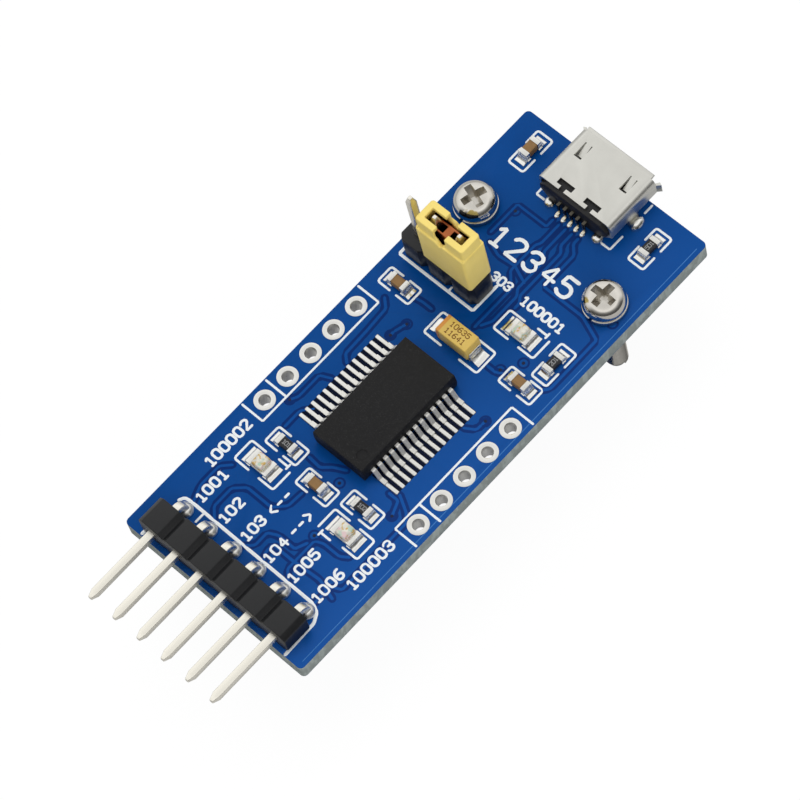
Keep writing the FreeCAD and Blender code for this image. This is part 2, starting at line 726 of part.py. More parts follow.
# Receptacle shell: one folded sheet with flared lips, latch windows, T slots and feet
def make_shell():
    half = s.shell_wide / 2
    sheet = s.shell_sheet
    body = new_body("receptacle_shell")
    outline = new_sketch(body, "shell_outline", "XZ_Plane", (0, 0, -SHELL_FRONT))
    corners = [
        (-(half - s.shell_slant), TOP),
        (half - s.shell_slant, TOP),
        (half, TOP + s.shell_slant),
        (half, SHELL_TOP),
        (-half, SHELL_TOP),
        (-half, TOP + s.shell_slant),
    ]
    add_outline(outline, corners)
    pad(body, "shell_block", outline, s.shell_long)
    round_edges(
        body,
        "shell_folds",
        s.shell_round,
        lambda edge: runs_along(edge, 1) and edge.CenterOfMass.z > SHELL_TOP.value - 1e-6,
    )
    doc.recompute()
    ends = [
        "Face%d" % (n + 1)
        for n, face in enumerate(body.Tip.Shape.Faces)
        if abs(abs(face.normalAt(0, 0).y) - 1) < 1e-6
    ]
    base = body.Tip
    hollow = feature(body, "Thickness", "shell_hollow")
    hollow.Base = (base, ends)
    hollow.Reversed = True
    bind(hollow, Value=sheet)

    windows = new_sketch(body, "shell_windows", "XY_Plane", (0, 0, SHELL_TOP))
    latch_low = s.shell_rear + s.latch_rear
    latch_high = latch_low + s.latch_long
    for side in (-1, 1):
        centre = side * s.latch_side
        add_outline(
            windows,
            rectangle(
                (centre - s.latch_wide / 2, latch_low), (centre + s.latch_wide / 2, latch_high)
            ),
        )
        key = side * s.key_side
        bar = s.shell_rear + s.key_start
        deep = s.shell_rear + s.key_deep
        add_outline(
            windows,
            [
                (key - s.key_stem / 2, s.shell_rear - sheet),
                (key + s.key_stem / 2, s.shell_rear - sheet),
                (key + s.key_stem / 2, bar),
                (key + s.key_bar / 2, bar),
                (key + s.key_bar / 2, deep),
                (key - s.key_bar / 2, deep),
                (key - s.key_bar / 2, bar),
                (key - s.key_stem / 2, bar),
            ],
        )
    pocket(body, "shell_openings", windows, sheet + s.insert_gap)

    tab_end = latch_high - s.tab_long
    for name, side in (("left", -1), ("right", 1)):
        tongue = new_sketch(body, name + "_latch_side", "YZ_Plane", (0, 0, side * s.latch_side))
        corners = [
            (latch_high, SHELL_TOP - sheet),
            (latch_high, SHELL_TOP),
            (tab_end, SHELL_TOP - s.latch_drop),
            (tab_end, SHELL_TOP - s.latch_drop - sheet),
        ]
        add_outline(tongue, corners)
        pad(body, name + "_latch", tongue, s.tab_wide, SideType="Symmetric")

    front = SHELL_FRONT
    far = front + s.lip_out
    top_lip = new_sketch(body, "top_lip_side", "YZ_Plane")
    corners = [(front, SHELL_TOP - sheet), (far, SHELL_TOP - sheet + s.lip_flare)]
    corners += [(far - s.lip_bevel, SHELL_TOP + s.lip_flare), (front, SHELL_TOP)]
    add_outline(top_lip, corners)
    pad(body, "top_lip_pad", top_lip, s.top_lip, SideType="Symmetric")
    low_lip = new_sketch(body, "low_lip_side", "YZ_Plane")
    corners = [(front, TOP), (far - s.lip_bevel, TOP - s.lip_flare)]
    corners += [(far, TOP + sheet - s.lip_flare), (front, TOP + sheet)]
    add_outline(low_lip, corners)
    pad(body, "low_lip_pad", low_lip, s.low_lip, SideType="Symmetric")
    ears = new_sketch(body, "ear_plan", "XY_Plane", (0, 0, TOP + s.shell_slant))
    for side in (-1, 1):
        corners = [
            (side * (half - sheet), front),
            (side * (half - sheet + s.lip_flare), far),
            (side * (half + s.lip_flare), far - s.lip_bevel),
            (side * half, front),
        ]
        add_outline(ears, corners)
    pad(body, "ear_pads", ears, s.ear_high)

    feet = new_sketch(body, "feet_plan", "XY_Plane", (0, 0, TOP))
    for side in (-1, 1):
        low = s.shell_rear + s.foot_rear
        corners = [(side * (half - sheet), low), (side * half, low)]
        corners += [(side * half, low + s.foot_long), (side * (half - sheet), low + s.foot_long)]
        add_outline(feet, corners)
    pad(body, "side_feet", feet, s.shell_slant + sheet)
    heels = new_sketch(body, "heels_plan", "XY_Plane", (0, 0, TOP))
    for side in (-1, 1):
        centre = side * s.heel_side
        low = (centre - s.heel_wide / 2, s.shell_rear - s.heel_out)
        add_outline(heels, rectangle(low, (centre + s.heel_wide / 2, s.shell_rear)))
    pad(body, "rear_feet", heels, sheet)
    node(body, "usb_shell")


# Receptacle contacts: foot, riser and a long arm under the tongue
def make_contacts():
    body = new_body("receptacle_contacts")
    first = -(s.contact_count - 1) * s.contact_pitch / 2
    side = new_sketch(body, "contact_side", "YZ_Plane", (0, 0, first))
    rear = s.shell_rear - s.insert_rear
    thick = s.contact_thick
    riser = rear - s.contact_stand
    arm = TOP + s.tongue_low - thick
    reach = rear + s.insert_deep + s.tongue_long - s.contact_short
    corners = [
        (rear - s.contact_foot, PAD_TOP),
        (riser, PAD_TOP),
        (riser, arm),
        (reach, arm),
        (reach, arm + thick),
        (riser - thick, arm + thick),
        (riser - thick, PAD_TOP + thick),
        (rear - s.contact_foot, PAD_TOP + thick),
    ]
    add_outline(side, corners)
    strip = pad(body, "contact_strip", side, s.contact_wide, SideType="Symmetric")
    spread(body, "contact_strips", [strip], "X_Axis", s.contact_count, s.contact_pitch)
    return node(body, "usb_contacts")


# Receptacle insert: a moulded block with the contact tongue, grooved for the contacts
def make_insert(contacts):
    body = new_body("receptacle_moulding")
    gap = s.shell_sheet + s.insert_gap
    rear = s.shell_rear - s.insert_rear
    half = s.shell_wide / 2 - gap
    low = TOP + gap
    high = SHELL_TOP - gap
    slant = s.shell_slant
    outline = new_sketch(body, "insert_outline", "XZ_Plane", (0, 0, -(rear + s.insert_deep)))
    corners = [
        (-(half - slant), low),
        (half - slant, low),
        (half - s.insert_gap, low + slant),
        (half - s.insert_gap, high - s.shell_round),
        (half - s.shell_round, high),
        (-(half - s.shell_round), high),
        (-(half - s.insert_gap), high - s.shell_round),
        (-(half - s.insert_gap), low + slant),
    ]
    add_outline(outline, corners)
    pad(body, "insert_block", outline, s.insert_deep)
    tongue = new_sketch(body, "tongue_outline", "XZ_Plane", (0, 0, -(rear + s.insert_deep)))
    level = TOP + s.tongue_low
    low_corner = (-s.tongue_wide / 2, level)
    add_outline(tongue, rectangle(low_corner, (s.tongue_wide / 2, level + s.tongue_thick)))
    pad(body, "tongue_pad", tongue, s.tongue_long, Reversed=True)
    node(cut("receptacle_insert", body, contacts), "usb_insert")


# Solder at the receptacle's feet, sloping down from each, and the pads of its contacts
def make_receptacle_solder():
    pieces = []
    half = s.shell_wide / 2
    crest = s.fillet_top
    margin = s.foot_margin
    for name, side in (("left", -1), ("right", 1)):
        low = s.shell_rear + s.foot_rear
        high = low + s.foot_long
        out = sorted((side * half, side * (half + s.foot_spill)), key=lambda size: size.value)
        lid = sorted((side * half, side * (half + crest)), key=lambda size: size.value)
        base = (out[0], low - margin, out[1], high + margin)
        top = (lid[0], low, lid[1], high)
        pieces.append(hopper(name + "_foot_solder", base, top, TOP, TOP + s.foot_climb))

        heel = side * s.heel_side
        wide = s.heel_wide / 2
        edge = s.shell_rear - s.heel_out
        base = (heel - wide - margin, edge - s.foot_spill, heel + wide + margin, edge)
        top = (heel - wide, edge - crest, heel + wide, edge)
        pieces.append(hopper(name + "_heel_solder", base, top, TOP, TOP + s.heel_climb))
    rear = s.shell_rear - s.insert_rear
    first = -(s.contact_count - 1) * s.contact_pitch / 2
    for number in range(int(s.contact_count.value)):
        across = first + number * s.contact_pitch
        low = (across - s.contact_land / 2, rear - s.contact_foot - s.contact_spill, TOP)
        high = (across + s.contact_land / 2, rear - s.contact_stand, PAD_TOP)
        pieces.append(box("contact_land_%d" % (number + 1), low, high))
    node(group("receptacle_solder", pieces), "usb_solder")


# Interface chip: drafted moulding, gull-wing leads and their pads
def make_chip():
    low = TOP + s.chip_stand
    high = low + s.chip_high
    middle = (low + high) / 2
    half = s.chip_wide / 2
    band = s.chip_band / 2
    body = new_body("chip_moulding")
    front = CHIP_MIDDLE + s.chip_long / 2
    section = new_sketch(body, "chip_section", "XZ_Plane", (0, 0, -front))
    corners = [(-(half - s.chip_draft), low), (half - s.chip_draft, low), (half, middle - band)]
    corners += [(half, middle + band), (half - s.chip_draft, high), (-(half - s.chip_draft), high)]
    corners += [(-half, middle + band), (-half, middle - band)]
    add_outline(section, corners)
    pad(body, "chip_block", section, s.chip_long)
    mark = new_sketch(body, "chip_mark", "XY_Plane", (0, 0, high))
    spot = (half - s.dimple_edge, CHIP_MIDDLE - s.chip_long / 2 + s.dimple_edge)
    add_circle(mark, spot, s.dimple_wide / 2)
    pocket(body, "chip_dimple", mark, s.dimple_deep)
    node(body, "chip_body")

    first = CHIP_MIDDLE - (s.lead_count - 1) * s.lead_pitch / 2
    thick = s.lead_thick
    tip = s.lead_span / 2
    shelf = half + s.lead_shelf
    knee = tip - s.lead_foot
    for name, side in (("left", -1), ("right", 1)):
        leads = new_body(name + "_leads")
        profile = new_sketch(leads, name + "_lead_side", "XZ_Plane", (0, 0, -first))
        corners = [
            (half, middle + thick / 2),
            (half, middle - thick / 2),
            (shelf - thick, middle - thick / 2),
            (knee - thick, PAD_TOP),
            (tip, PAD_TOP),
            (tip, PAD_TOP + thick),
            (knee, PAD_TOP + thick),
            (shelf, middle + thick / 2),
        ]
        add_outline(profile, [(side * u, v) for u, v in corners])
        lead = pad(leads, name + "_lead", profile, s.lead_wide, SideType="Symmetric")
        spread(leads, name + "_lead_row", [lead], "Y_Axis", s.lead_count, s.lead_pitch)
        node(leads, "chip_leads_" + name)

        pads = new_body(name + "_pads")
        plan = new_sketch(pads, name + "_pad_plan", "XY_Plane", (0, 0, TOP))
        ends = [(s.pad_inner, first - s.pad_wide / 2), (s.pad_outer, first - s.pad_wide / 2)]
        ends += [(s.pad_outer, first + s.pad_wide / 2), (s.pad_inner, first + s.pad_wide / 2)]
        add_outline(plan, [(side * u, v) for u, v in ends])
        one = pad(pads, name + "_pad", plan, s.copper)
        spread(pads, name + "_pad_row", [one], "Y_Axis", s.lead_count, s.lead_pitch)
        node(pads, "chip_pads_" + name)


def spot_range(centre, way, near, far, half_wide):
    """A rectangle beside a small part: from near to far along the part, and its width across."""
    along, across = sorted((near, far), key=lambda size: size.value), (-half_wide, half_wide)
    if way == "X":
        low = (centre[0] + along[0], centre[1] + across[0])
        high = (centre[0] + along[1], centre[1] + across[1])
    else:
        low = (centre[0] + across[0], centre[1] + along[0])
        high = (centre[0] + across[1], centre[1] + along[1])
    return low, high


# One small surface part: a body with a metal cup on each end, on two soldered pads
def make_small_part(kind, number, way, lands):
    name = "%s%d" % (kind, number)
    centre = (getattr(s, name + "_across"), getattr(s, name + "_along"))
    if kind == "lamp":
        long, wide, high, end = s.lamp_long, s.lamp_wide, s.lamp_base, s.lamp_end
    else:
        tall = s.resistor_high if kind == "resistor" else s.capacitor_high
        long, wide, high, end = s.small_long, s.small_wide, tall, s.end_long
    skin = s.end_skin
    low = PAD_TOP + skin
    corner, far_corner = spot_range(centre, way, -long / 2, long / 2, wide / 2)
    core = box(name + "_core", corner + (low,), far_corner + (low + high,))
    ends = []
    for side in (-1, 1):
        tag = name + ("_low" if side < 0 else "_high")
        edge = side * (long / 2 + skin)
        cup = spot_range(centre, way, side * (long / 2 - end), edge, wide / 2 + skin)
        block = box(tag + "_cup", cup[0] + (PAD_TOP,), cup[1] + (low + high + skin,))
        ends.append(cut(tag + "_end", block, core))

        half_land = wide / 2 + skin + s.land_side
        inner = side * (long / 2 - s.land_inner)
        outer = side * (long / 2 + skin + s.land_outer)
        land = spot_range(centre, way, inner, outer, half_land)
        sheet = box(tag + "_land", land[0] + (TOP,), land[1] + (PAD_TOP,))
        foot = spot_range(centre, way, edge, outer, half_land)
        crest = spot_range(centre, way, edge, edge + side * s.fillet_top, wide / 2)
        slope = hopper(
            tag + "_slope", foot[0] + foot[1], crest[0] + crest[1], PAD_TOP, PAD_TOP + high * s.fillet_share
        )
        lands.append(fuse(tag + "_solder", [sheet, slope]))
    if kind == "lamp":
        node(core, "lamp_base_%d" % number)
        node(group(name + "_ends", ends), "lamp_terminals_%d" % number)
        half = (s.lens_long / 2, wide / 2)
        base = spot_range(centre, way, -half[0], half[0], half[1])
        lid = spot_range(
            centre, way, s.lens_draft - half[0], half[0] - s.lens_draft, half[1] - s.lens_draft
        )
        lens = hopper(
            name + "_dome", base[0] + base[1], lid[0] + lid[1], low + high, low + high + s.lens_high
        )
        node(lens, "lamp_lens_%d" % number)
    else:
        node(core, "%s_%d" % (kind, number))
        node(group(name + "_ends", ends), "%s_ends_%d" % (kind, number))


# Moulded capacitor: drafted block and two straps folded under it
def make_tantalum(lands):
    centre = (s.tantalum_x, s.tantalum_y)
    strap = s.tantalum_sheet
    low = PAD_TOP + strap
    high = low + s.tantalum_high
    middle = (low + high) / 2
    half = s.tantalum_long / 2
    draft = s.tantalum_draft
    body = new_body("tantalum_moulding")
    front = centre[1] + s.tantalum_wide / 2
    section = new_sketch(body, "tantalum_section", "XZ_Plane", (centre[0], 0, -front))
    corners = [(-(half - draft), low), (half - draft, low), (half, middle)]
    corners += [(half - draft, high), (-(half - draft), high), (-half, middle)]
    add_outline(section, corners)
    pad(body, "tantalum_block", section, s.tantalum_wide)
    node(body, "tantalum_body")

    straps = []
    for name, side in (("left", -1), ("right", 1)):
        bent = new_body(name + "_strap")
        profile = new_sketch(bent, name + "_strap_side", "XZ_Plane", (centre[0], 0, -centre[1]))
        corners = [
            (s.tantalum_under, PAD_TOP),
            (half + strap, PAD_TOP),
            (half + strap, middle),
            (half, middle),
            (half - draft, low),
            (s.tantalum_under, low),
        ]
        add_outline(profile, [(side * u, v) for u, v in corners])
        pad(bent, name + "_strap_pad", profile, s.tantalum_strap, SideType="Symmetric")
        straps.append(bent)
        edge = side * (half + strap)
        outer = edge + side * s.land_outer
        land = spot_range(centre, "X", side * s.tantalum_under, outer, s.tantalum_strap / 2 + s.land_side)
        sheet = box(name + "_strap_land", land[0] + (TOP,), land[1] + (PAD_TOP,))
        foot = spot_range(centre, "X", edge, outer, s.tantalum_strap / 2 + s.land_side)
        crest = spot_range(centre, "X", edge, edge + side * s.fillet_top, s.tantalum_strap / 2)
        slope = hopper(
            name + "_strap_slope", foot[0] + foot[1], crest[0] + crest[1], PAD_TOP, PAD_TOP + s.end_long
        )
        lands.append(fuse(name + "_strap_solder", [sheet, slope]))
    node(group("tantalum_straps", straps), "tantalum_terminals")


# Mounting screws with cross recess, and split lock washers under their heads
def make_screws():
    top = UNDER_HEAD + s.head_high
    end = UNDER_HEAD - s.screw_long
    shank = s.screw_wide / 2
    for name, side in (("left", -1), ("right", 1)):
        across = side * SCREW_SIDE
        body = new_body(name + "_screw")
        section = new_sketch(body, name + "_screw_section", "XZ_Plane", (across, 0, -s.screw_row))
        corners = [
            (0, end),
            (shank - s.screw_point, end),
            (shank, end + s.screw_point),
            (shank, UNDER_HEAD),
            (s.head_wide / 2, UNDER_HEAD),
        ]
        for step in range(CROWN_STEPS + 1):
            turned = pi / 2 * step / CROWN_STEPS
            out = s.head_wide / 2 - s.head_round * (1 - cos(turned))
            corners.append((out, top - s.head_round * (1 - sin(turned))))
        corners.append((0, top))
        add_outline(section, corners)
        turn = feature(body, "Revolution", name + "_screw_turn", section)
        turn.ReferenceAxis = (section, ["V_Axis"])
        centre = (across, s.screw_row)
        low = top - s.recess_deep
        cone = round_bar(name + "_recess_cone", centre, s.recess_point / 2, low, top, s.recess_wide / 2)
        reach = s.recess_wide / 2
        slot = s.recess_slot / 2
        bars = [
            box(
                name + "_recess_across",
                (across - reach, s.screw_row - slot, low),
                (across + reach, s.screw_row + slot, top),
            ),
            box(
                name + "_recess_along",
                (across - slot, s.screw_row - reach, low),
                (across + slot, s.screw_row + reach, top),
            ),
        ]
        recess = common(name + "_recess", fuse(name + "_recess_cross", bars), cone)
        node(cut(name + "_screw_whole", body, recess), "screw_" + name)

        disc = round_bar(name + "_washer_disc", centre, s.washer_wide / 2, TOP, UNDER_HEAD)
        bore = round_bar(name + "_washer_bore", centre, s.washer_bore / 2, TOP, UNDER_HEAD)
        ring = cut(name + "_washer_ring", disc, bore)
        slit = s.washer_split / 2
        front = s.screw_row - s.washer_wide
        under = across - s.washer_lean
        over = across + s.washer_lean
        base = (under - slit, front, under + slit, s.screw_row)
        lid = (over - slit, front, over + slit, s.screw_row)
        gap = hopper(name + "_washer_gap", base, lid, TOP, UNDER_HEAD)
        node(cut(name + "_washer_whole", ring, gap), "lock_washer_" + name)


def export_parts():
    """Checks every object and writes each sub-part to its own file."""
    doc.recompute()
    for item in doc.Objects:
        if {"Invalid", "Error"} & set(item.State):
            raise RuntimeError("%s failed: %s" % (item.Name, item.State))
    for item in nodes:
        if item.Shape.isNull() or not item.Shape.isValid() or not item.Shape.Solids:
            raise RuntimeError("%s has no valid solid" % item.Label)
    os.makedirs("parts", exist_ok=True)
    for item in nodes:
        item.Shape.exportStep("parts/%s.step" % item.Label)
    print("%d sub-parts written" % len(nodes))


make_board()
make_plated_holes()
make_header()
make_selector()
make_jumper()
make_shell()
contacts = make_contacts()
make_insert(contacts)
make_receptacle_solder()
make_chip()
solder_lands = []
for part_kind, part_number, _, _, direction in SMALL_PARTS:
    make_small_part(part_kind, part_number, direction, solder_lands)
make_tantalum(solder_lands)
node(group("component_lands", solder_lands), "component_pads")
make_screws()
export_parts()
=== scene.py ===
from math import cos, pi, radians, sin

import bmesh
import bpy
from bpy.props import FloatProperty, FloatVectorProperty, PointerProperty
from mathutils import Matrix, Vector


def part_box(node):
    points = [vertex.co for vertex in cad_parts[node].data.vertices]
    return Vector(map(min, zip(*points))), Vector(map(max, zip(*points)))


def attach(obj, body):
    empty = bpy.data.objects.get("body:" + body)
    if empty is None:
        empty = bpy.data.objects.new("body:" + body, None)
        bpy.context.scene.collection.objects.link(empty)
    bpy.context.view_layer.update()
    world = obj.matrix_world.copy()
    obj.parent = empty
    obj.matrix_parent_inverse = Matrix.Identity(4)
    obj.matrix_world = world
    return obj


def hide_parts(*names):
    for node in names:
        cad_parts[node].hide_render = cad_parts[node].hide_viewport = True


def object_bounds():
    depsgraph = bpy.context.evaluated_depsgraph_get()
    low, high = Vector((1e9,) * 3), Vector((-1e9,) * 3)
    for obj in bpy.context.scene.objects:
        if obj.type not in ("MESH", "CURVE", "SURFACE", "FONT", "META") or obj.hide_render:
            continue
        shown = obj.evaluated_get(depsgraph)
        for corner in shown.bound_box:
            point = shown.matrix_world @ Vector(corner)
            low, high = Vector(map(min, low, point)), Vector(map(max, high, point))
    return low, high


bl_info = {
    "name": "Serial adapter module",
    "version": (1, 0, 0),
    "blender": (4, 5, 0),
    "location": "View3D > Sidebar > Adapter",
    "description": "Dresses the packed module: solder mask, printing, solder, metal and plastics",
    "category": "Object",
}

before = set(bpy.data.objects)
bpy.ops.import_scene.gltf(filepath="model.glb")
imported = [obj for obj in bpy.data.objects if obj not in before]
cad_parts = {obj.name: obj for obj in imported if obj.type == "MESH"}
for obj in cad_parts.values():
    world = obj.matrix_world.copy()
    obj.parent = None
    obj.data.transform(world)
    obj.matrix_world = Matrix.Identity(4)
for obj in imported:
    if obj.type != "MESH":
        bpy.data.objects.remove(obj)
cad_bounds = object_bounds()

MM = 0.001
BODY = "root"
BOARD_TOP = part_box("circuit_board")[1].z / MM
PITCH = 2.54


def tone(red, green, blue):
    """A colour from its eight-bit values, as light."""

    def light(value):
        share = value / 255
        return share / 12.92 if share <= 0.04045 else ((share + 0.055) / 1.055) ** 2.4

    return light(red), light(green), light(blue)


def colour_setting(label, note, value):
    return FloatVectorProperty(
        name=label, description=note, subtype="COLOR", size=3, min=0, max=1, default=value
    )


def length_setting(label, note, value):
    return FloatProperty(
        name=label, description=note, unit="LENGTH", min=0, precision=5, default=value * MM
    )


class BoardSettings(bpy.types.PropertyGroup):
    mask: colour_setting("Solder mask", "Colour of the mask over copper", tone(4, 68, 138))
    gap: colour_setting("Mask in gaps", "Colour of mask with no copper under it", tone(2, 42, 104))
    laminate: colour_setting("Laminate", "Colour of the board's cut edges", tone(150, 158, 156))
    ink: colour_setting("Ink", "Colour of the printed lines and digits", tone(240, 244, 246))
    outline: length_setting("Outline width", "Width of the printed outlines", 0.19)
    track: length_setting("Track width", "Width of the copper tracks", 0.28)
    clearance: length_setting("Track clearance", "Width of the strip that a track runs in", 0.7)


class MetalSettings(bpy.types.PropertyGroup):
    tin: colour_setting("Tin", "Tinned rings, pads and solder", tone(232, 231, 226))
    pin: colour_setting("Pins", "Plated header pins", tone(244, 240, 228))
    shell: colour_setting("Shell", "Receptacle shell", tone(214, 213, 206))
    nickel: colour_setting("Nickel", "Screws and washers", tone(214, 210, 202))


class PlasticSettings(bpy.types.PropertyGroup):
    strip: colour_setting("Pin strips", "Moulded pin strips", tone(17, 18, 20))
    cap: colour_setting("Jumper cap", "Moulded jumper cap", tone(246, 221, 124))
    chip: colour_setting("Chip", "Interface chip's moulding", tone(20, 20, 21))
    block: colour_setting("Moulded capacitor", "Moulded capacitor's block", tone(210, 178, 88))


SETTINGS = {
    "adapter_board": BoardSettings,
    "adapter_metal": MetalSettings,
    "adapter_plastic": PlasticSettings,
}


# Shader maths, with the sockets of a node that mixes colours
MIX_SHARE, MIX_FIRST, MIX_SECOND, MIX_RESULT = 0, 6, 7, 2


class Wire:
    """A value in a shader's tree, so that shader maths reads as plain arithmetic."""

    def __init__(self, tree, socket=None):
        self.tree = tree
        self.socket = socket

    def add(self, kind, settings=None, inputs=None, output=0):
        """A new node: its settings come first, then the values or links of its sockets.

        A ramp's stops are pairs of a place and a grey level.
        """
        made = self.tree.nodes.new(kind)
        for name, value in (settings or {}).items():
            if name == "stops":
                stops = made.color_ramp.elements
                stops[0].position, stops[1].position = value[0][0], value[-1][0]
                for place, _ in value[1:-1]:
                    stops.new(place)
                for stop, (_, level) in zip(stops, value):
                    stop.color = (level, level, level, 1)
            else:
                setattr(made, name, value)
        for name, value in (inputs or {}).items():
            if isinstance(value, Wire):
                self.tree.links.new(value.socket, made.inputs[name])
            else:
                made.inputs[name].default_value = value
        return Wire(self.tree, made.outputs[output] if made.outputs else None)

    def maths(self, operation, *values):
        return self.add("ShaderNodeMath", {"operation": operation}, dict(enumerate(values)))

    def __add__(self, other):
        return self.maths("ADD", self, other)

    def __sub__(self, other):
        return self.maths("SUBTRACT", self, other)

    def __rsub__(self, other):
        return self.maths("SUBTRACT", other, self)

    def __mul__(self, other):
        return self.maths("MULTIPLY", self, other)

    def __gt__(self, other):
        return self.maths("GREATER_THAN", self, other)

    def __lt__(self, other):
        return self.maths("LESS_THAN", self, other)

    __radd__ = __add__
    __rmul__ = __mul__

    def spread(self, low, high):
        """Nought below low, one above high and a smooth way between."""
        return self.add(
            "ShaderNodeMapRange",
            {"interpolation_type": "SMOOTHSTEP"},
            {"Value": self, "From Min": low, "From Max": high},
        )

    def mix_node(self, share, first, second):
        sockets = {MIX_SHARE: share, MIX_FIRST: first, MIX_SECOND: second}
        return self.add("ShaderNodeMix", {"data_type": "RGBA"}, sockets, output=MIX_RESULT)

    def blend(self, other, share):
        """Two colours mixed in a fixed share."""
        return self.mix_node(share, self, other)

    def mix(self, without, with_it):
        """A colour that goes from one to the other as this value goes from 0 to 1."""
        ends = [shade if isinstance(shade, Wire) else (*shade, 1) for shade in (without, with_it)]
        return self.mix_node(self, *ends)


def parts_of(tree, vector):
    """The three parts of a vector."""
    return [tree.add("ShaderNodeSeparateXYZ", None, {0: vector}, output=n) for n in range(3)]


def place_on(tree):
    """The three parts of the surface's point, in metres."""
    return parts_of(tree, tree.add("ShaderNodeTexCoord", output="Object"))


def grain(tree, size, detail=3, stretch=None):
    """Cloudy noise whose spots are about that many millimetres across."""
    point = tree.add("ShaderNodeTexCoord", output="Object")
    if stretch:
        point = tree.add("ShaderNodeVectorMath", {"operation": "MULTIPLY"}, {0: point, 1: stretch})
    return tree.add(
        "ShaderNodeTexNoise", None, {"Vector": point, "Scale": 1 / (size * MM), "Detail": detail}
    )


def relief(tree, height, depth):
    """A normal from a height between 0 and 1 that stands for that many millimetres."""
    return tree.add("ShaderNodeBump", None, {"Height": height, "Distance": depth * MM})


def new_finish(name):
    finish = bpy.data.materials.new(name)
    finish.use_nodes = True
    finish.node_tree.nodes.clear()
    return finish, Wire(finish.node_tree)


def close_finish(tree, sockets):
    shader = tree.add("ShaderNodeBsdfPrincipled", None, sockets)
    tree.add("ShaderNodeOutputMaterial", None, {"Surface": shader})


def shade_of(colour, share):
    return tuple(min(1, part * share) for part in colour)


def plastic(name, colour, rough, spot=0.12, swing=0.12, depth=0.004, flecks=0.0, shine=0.3):
    """Plastic, ceramic or glaze: softly changing colour, a fine surface, and flecks if wanted."""
    finish, tree = new_finish(name)
    cloud = grain(tree, spot * 6)
    fine = grain(tree, spot, 5)
    shade = cloud.mix(shade_of(colour, 1 - swing), shade_of(colour, 1 + swing))
    if flecks:
        pale = tuple(part * 0.6 + 0.1 for part in colour)
        shade = grain(tree, spot * 0.5, 2).spread(0.72 - flecks, 0.78 - flecks).mix(shade, pale)
    close_finish(
        tree,
        {
            "Base Color": shade,
            "Roughness": fine * 0.12 + (rough - 0.06),
            "Normal": relief(tree, fine, depth),
            "Specular IOR Level": shine,
        },
    )
    return finish


def metal(
    name, colour, rough, spot=0.25, swing=0.12, depth=0.003, stretch=None, shadow=None, detail=4
):
    """Plated metal or solder: a bright surface with uneven gloss and slight ripples.

    A shadow is a pair of heights in millimetres, between which the metal goes dark upwards.
    """
    finish, tree = new_finish(name)
    cloud = grain(tree, spot * 3, 3, stretch)
    fine = grain(tree, spot, detail, stretch)
    shade = cloud.mix(shade_of(colour, 1 - swing), shade_of(colour, 1 + swing / 2))
    if shadow:
        up = place_on(tree)[2]
        shade = up.spread(shadow[0] * MM, shadow[1] * MM).mix(shade, shade_of(colour, 0.12))
    close_finish(
        tree,
        {
            "Base Color": shade,
            "Metallic": 1.0,
            "Roughness": fine * (rough * 0.6) + rough * 0.7,
            "Normal": relief(tree, fine, depth),
        },
    )
    return finish


def board_finish(name, colour, settings, rough):
    """Solder mask over glossy copper on both faces, with painted light towards +X, and the cut
    laminate between them.
    """
    finish, tree = new_finish(name)
    across, along, up = place_on(tree)
    ends = (shade_of(colour, 0.9), shade_of(colour, 1.12))
    broad = grain(tree, 3.0, 3).mix(*ends)
    mask = grain(tree, 0.15, 2).mix(*ends).blend(broad, 0.5)
    # Painted light: the mask turns paler towards +X and a little towards -Y, a painted sheen
    pale = tuple(part * 1.25 + 0.006 for part in colour)
    mask = (across - along * 0.15).spread(-0.002, 0.014).mix(mask, pale)
    weave = grain(tree, 0.22, 3, (1, 1, 6))
    fibre = grain(tree, 0.5, 4, (1, 1, 0.4))
    laminate = weave.mix(shade_of(settings.laminate, 0.62), shade_of(settings.laminate, 1.3))
    laminate = fibre.spread(0.45, 0.62).mix(laminate, shade_of(settings.laminate, 1.25))
    skin = 0.035 * MM
    is_face = (up > BOARD_TOP * MM - skin) + (up < skin)
    fine = grain(tree, 0.35, 3)
    close_finish(
        tree,
        {
            "Base Color": is_face.mix(laminate, mask),
            "Roughness": is_face * (rough - 0.75) + fine * 0.08 + 0.72,
            "Normal": relief(tree, is_face * fine * 0.15 + (1 - is_face) * weave, 0.012),
            "Specular IOR Level": 0.08,
        },
    )
    return finish


def ink_finish(settings):
    finish, tree = new_finish("ink")
    fine = grain(tree, 0.06, 3)
    close_finish(
        tree,
        {
            "Base Color": grain(tree, 0.5, 3).mix(shade_of(settings.ink, 0.93), settings.ink),
            "Roughness": fine * 0.2 + 0.45,
            "Normal": relief(tree, fine, 0.003),
        },
    )
    return finish


# Size and colour of patches in the lens: green and pink are painted glints, yellow is the die
LENS_GLINTS_AND_DIE = [(0.41, tone(196, 222, 202)), (0.5, tone(238, 208, 208)), (0.3, tone(222, 184, 104))]


def lens_finish(name, tint):
    """Clouded resin with painted pink and green glints, and yellow patches of the die inside."""
    finish, tree = new_finish(name)
    cloud = grain(tree, 0.35, 2)
    shade = cloud.spread(0.35, 0.65).mix(shade_of(tint, 0.82), tint)
    for size, glint in LENS_GLINTS_AND_DIE:
        shade = grain(tree, size, 1).spread(0.54, 0.66).mix(shade, glint)
    close_finish(
        tree,
        {
            "Base Color": shade,
            "Roughness": cloud * 0.15 + 0.1,
            "Normal": relief(tree, grain(tree, 0.3, 2), 0.03),
            "Transmission Weight": 0.2,
            "IOR": 1.48,
        },
    )
    return finish


# Meshes: merge distances in millimetres and bends in degrees
MERGE = 0.001
CAD_MERGE = 0.002
SLIVER = 0.00002
FLAT_BEND = 2
SHARP_BEND = 28


def numbered(stem, count):
    return ["%s_%d" % (stem, number) for number in range(1, count + 1)]


